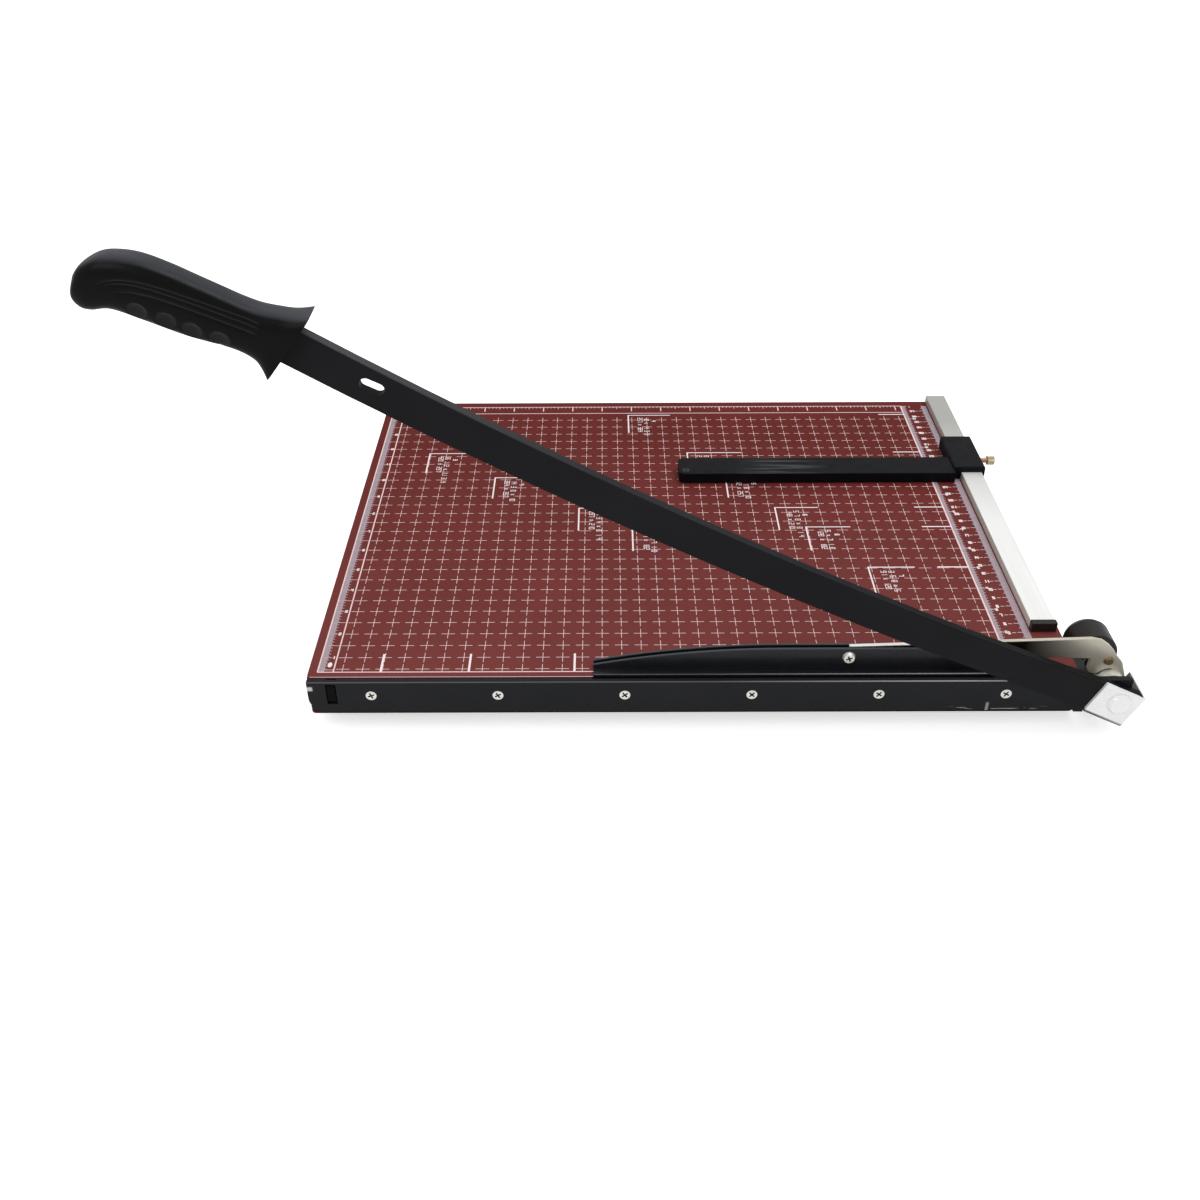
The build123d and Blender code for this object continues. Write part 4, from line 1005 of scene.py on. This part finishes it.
# centimetre ruler beside the ruler bar
RULER_MM = 370
CM_TICK = 8.0
HALF_CM_TICK = 5.8
MM_TICK = 4.6
MM_LINE = 0.55
CM_LINE = 0.5
CM_TICKS_END = BAND_RIGHT + 2.0
CM_LINE_FROM = BAND_LEFT - 1.6
CM_LINE_TO = BAND_LEFT + 1.0
CM_NUMBER = BAND_LEFT - 4.4
CM_NUMBER_DROP = 1.3
CM_NUMBER_HIGH = 2.4
CM_NUMBER_LINE = 0.8
CM_SECOND_DIGIT = 1.0

for step in range(RULER_MM):
    length = MM_TICK
    if step % MM_PER_CM == 0:
        length = CM_TICK
    elif step % (MM_PER_CM // 2) == 0:
        length = HALF_CM_TICK
    fine.across(CM_TICKS_END - length, CM_TICKS_END, FRONT_LINE + step, MM_LINE)
for centimetre in range(2, RULER_MM // MM_PER_CM + 1):
    y = MM_PER_CM * centimetre
    back = CM_SECOND_DIGIT * (centimetre > 9)
    lines.across(CM_LINE_FROM, CM_LINE_TO, y, CM_LINE)
    white.number(str(centimetre), CM_NUMBER - back, y - CM_NUMBER_DROP, CM_NUMBER_HIGH, CM_NUMBER_LINE)

# ruler along the back edge
BACK_RULER = 424
INCH_TICK = 8.0
HALF_INCH_TICK = 3.5
EIGHTH_TICK = 2.0
EIGHTH_LINE = 0.5

for step in range(int(BACK_RULER / (INCH / 8))):
    length = EIGHTH_TICK
    if step % 8 == 0:
        length = INCH_TICK
    elif step % 4 == 0:
        length = HALF_INCH_TICK
    x = GRID_LEFT + GRID + step * INCH / 8
    lines.along(x, BACK_LINE - length, BACK_LINE, EIGHTH_LINE if step % 8 else FRAME_LINE)

# corner marks of paper sizes: distance from the right, distance from the front, the same in inches
# with plain spaces for fractions, length of the mark, and the digit of the size's name
PAPER_SIZES = [
    (420, 297, "16 1 2 x 11 3 4", 33, "3"), (364, 257, "14 3 8 x 10", 33, "4"),
    (297, 210, "11 3 4 x 8 1 4", 33, "4"), (257, 182, "10 x 7 1 8", 33, "5"),
    (257, 364, "10 x 14 3 8", 36, "4"), (210, 297, "8 1 4 x 11 3 4", 45, "4"),
    (148, 210, "5 7 8 x 8 1 4", 33, "5"), (128, 182, "5 x 7 1 8", 33, "6"),
    (91, 128, "3 5 8 x 5", 33, "7"), (182, 257, "7 1 8 x 10", 33, "5"),
]
MARK_LINE = 1.1
MARK_DOWN = 32.0
# each label's distance right of the mark and down from it, height and line width
SIZE_LABEL = (8.0, 5.0, 3.7, 0.52)
INCHES_LABEL = (13.5, 5.0, 3.7, 0.52)
KIND_LABEL = (20.0, 10.0, 3.0, 0.7)
READ_DOWN = -math.pi / 2
FRONT_MARKS = (420, 364, 297, 257, 210, 182, 148)
FRONT_MARK_LONG = 18.6
FRONT_MARK_LINE = 1.4
RIGHT_MARKS = (364, 297, 210, 182, 128)
RIGHT_MARK_LONG = 22.0
RIGHT_MARK_LINE = 1.3

for wide, deep, inches, length, kind in PAPER_SIZES:
    bold.across(-wide - 0.5, -wide + length, deep, MARK_LINE)
    bold.along(-wide, deep - MARK_DOWN, deep, MARK_LINE)
    texts = ((f"{wide} x {deep}", SIZE_LABEL), (inches, INCHES_LABEL), (kind, KIND_LABEL))
    for text, (right, down, high, line) in texts:
        labels.number(text, -wide + right, deep - down, high, line, READ_DOWN)
for wide in FRONT_MARKS:
    bold.along(-wide, FRONT_LINE, FRONT_LINE + FRONT_MARK_LONG, FRONT_MARK_LINE)
for deep in RIGHT_MARKS:
    bold.across(RIGHT_INNER - RIGHT_MARK_LONG, RIGHT_INNER, deep, RIGHT_MARK_LINE)

PRINT_PINK = colour(240, 212, 210)
PRINT_WHITE = colour(250, 236, 236)
PRINT_GREY = colour(208, 199, 210)
print_pink = finish("print_pink", PRINT_PINK, 0.5, vary=0.06, vary_scale=200.0, specular=0.2)
print_white = finish("print_white", PRINT_WHITE, 0.5, vary=0.04, vary_scale=200.0, specular=0.2)
print_grey = finish("print_grey", PRINT_GREY, 0.5, vary=0.06, vary_scale=200.0, specular=0.2)
for name, marks, look in (
    ("grid_crosses", crosses, print_pink), ("ruler_lines", lines, print_pink),
    ("fine_ticks", fine, print_grey), ("paper_marks", bold, print_white),
    ("paper_numbers", labels, print_white), ("ruler_numbers", white, print_white),
):
    new_piece(name, marks.points, marks.faces, look, "base", "print_sheet")

# ------------------------------------------------------------------ floor
# lifted to white for the camera alone, so that it keeps the object's shadow
FLOOR_HALF = 7.0
FLOOR_GREY = 0.93
FLOOR_ROUGH = 0.9
FLOOR_SPECULAR = 0.1
FLOOR_LIFT = 0.6

floor_corners = [(a * FLOOR_HALF, b * FLOOR_HALF, 0.0) for a, b in ((-1, -1), (1, -1), (1, 1), (-1, 1))]
floor = link_mesh("floor", floor_corners, [(0, 1, 2, 3)])
floor_look = Nodes("floor_white")
floor_look.shader.inputs["Base Color"].default_value = (FLOOR_GREY, FLOOR_GREY, FLOOR_GREY, 1)
floor_look.shader.inputs["Roughness"].default_value = FLOOR_ROUGH
floor_look.shader.inputs["Specular IOR Level"].default_value = FLOOR_SPECULAR
floor_look.shader.inputs["Emission Color"].default_value = (1, 1, 1, 1)
seen = floor_look.add("ShaderNodeLightPath").outputs["Is Camera Ray"]
floor_look.join(floor_look.product(seen, FLOOR_LIFT), floor_look.shader.inputs["Emission Strength"])
floor.data.materials.append(floor_look.material)

# ------------------------------------------------------------------ world
# white to the camera and through clear parts, plainer as a light
WORLD_LIGHT = 0.62
WORLD_SEEN = 1.0

world = bpy.data.worlds.new("studio")
bpy.context.scene.world = world
world.use_nodes = True
tree = world.node_tree
background = tree.nodes["Background"]
background.inputs["Color"].default_value = (1.0, 1.0, 1.0, 1)
light_path = tree.nodes.new("ShaderNodeLightPath")
either = tree.nodes.new("ShaderNodeMath")
either.operation = "MAXIMUM"
level = tree.nodes.new("ShaderNodeMix")
level.data_type = "FLOAT"
level.inputs[2].default_value = WORLD_LIGHT
level.inputs[3].default_value = WORLD_SEEN
tree.links.new(light_path.outputs["Is Camera Ray"], either.inputs[0])
tree.links.new(light_path.outputs["Is Transmission Ray"], either.inputs[1])
tree.links.new(either.outputs[0], level.inputs[0])
tree.links.new(level.outputs[0], background.inputs["Strength"])

# ------------------------------------------------------------------ lamps
# name, place and disk size in metres, power in watts
LAMPS = (("key", (0.9, 0.5, 2.4), 1.4, 22.0), ("fill", (-1.2, -1.4, 1.9), 1.6, 12.0))

for name, place, size, power in LAMPS:
    data = bpy.data.lights.new(name, "AREA")
    data.shape = "DISK"
    data.size = size
    data.energy = power
    obj = bpy.data.objects.new(name, data)
    obj.location = place
    obj.rotation_euler = (-Vector(place)).to_track_quat("-Z", "Y").to_euler()
    bpy.context.scene.collection.objects.link(obj)

# ------------------------------------------------------------------ camera
# pinhole camera solved from the printed grid
CAMERA_PLACE = Vector((-0.03457, -0.80769, 0.54182))
CAMERA_LOOK = Vector((-0.00381, 0.81686, -0.57682)).normalized()
CAMERA_RIGHT = Vector((0.99999, 0.00128, -0.00479)).normalized()
CAMERA_LENS = 38.16
CAMERA_SENSOR = 36.0
CAMERA_NEAR = 0.01

camera_data = bpy.data.cameras.new("camera")
camera_data.lens = CAMERA_LENS
camera_data.sensor_width = CAMERA_SENSOR
camera_data.clip_start = CAMERA_NEAR
camera = bpy.data.objects.new("camera", camera_data)
camera_up = CAMERA_RIGHT.cross(CAMERA_LOOK).normalized()
camera.matrix_world = Matrix((
    (CAMERA_RIGHT.x, camera_up.x, -CAMERA_LOOK.x, CAMERA_PLACE.x),
    (CAMERA_RIGHT.y, camera_up.y, -CAMERA_LOOK.y, CAMERA_PLACE.y),
    (CAMERA_RIGHT.z, camera_up.z, -CAMERA_LOOK.z, CAMERA_PLACE.z),
    (0, 0, 0, 1),
))
bpy.context.scene.collection.objects.link(camera)
bpy.context.scene.camera = camera
bpy.context.scene.view_settings.view_transform = "Standard"
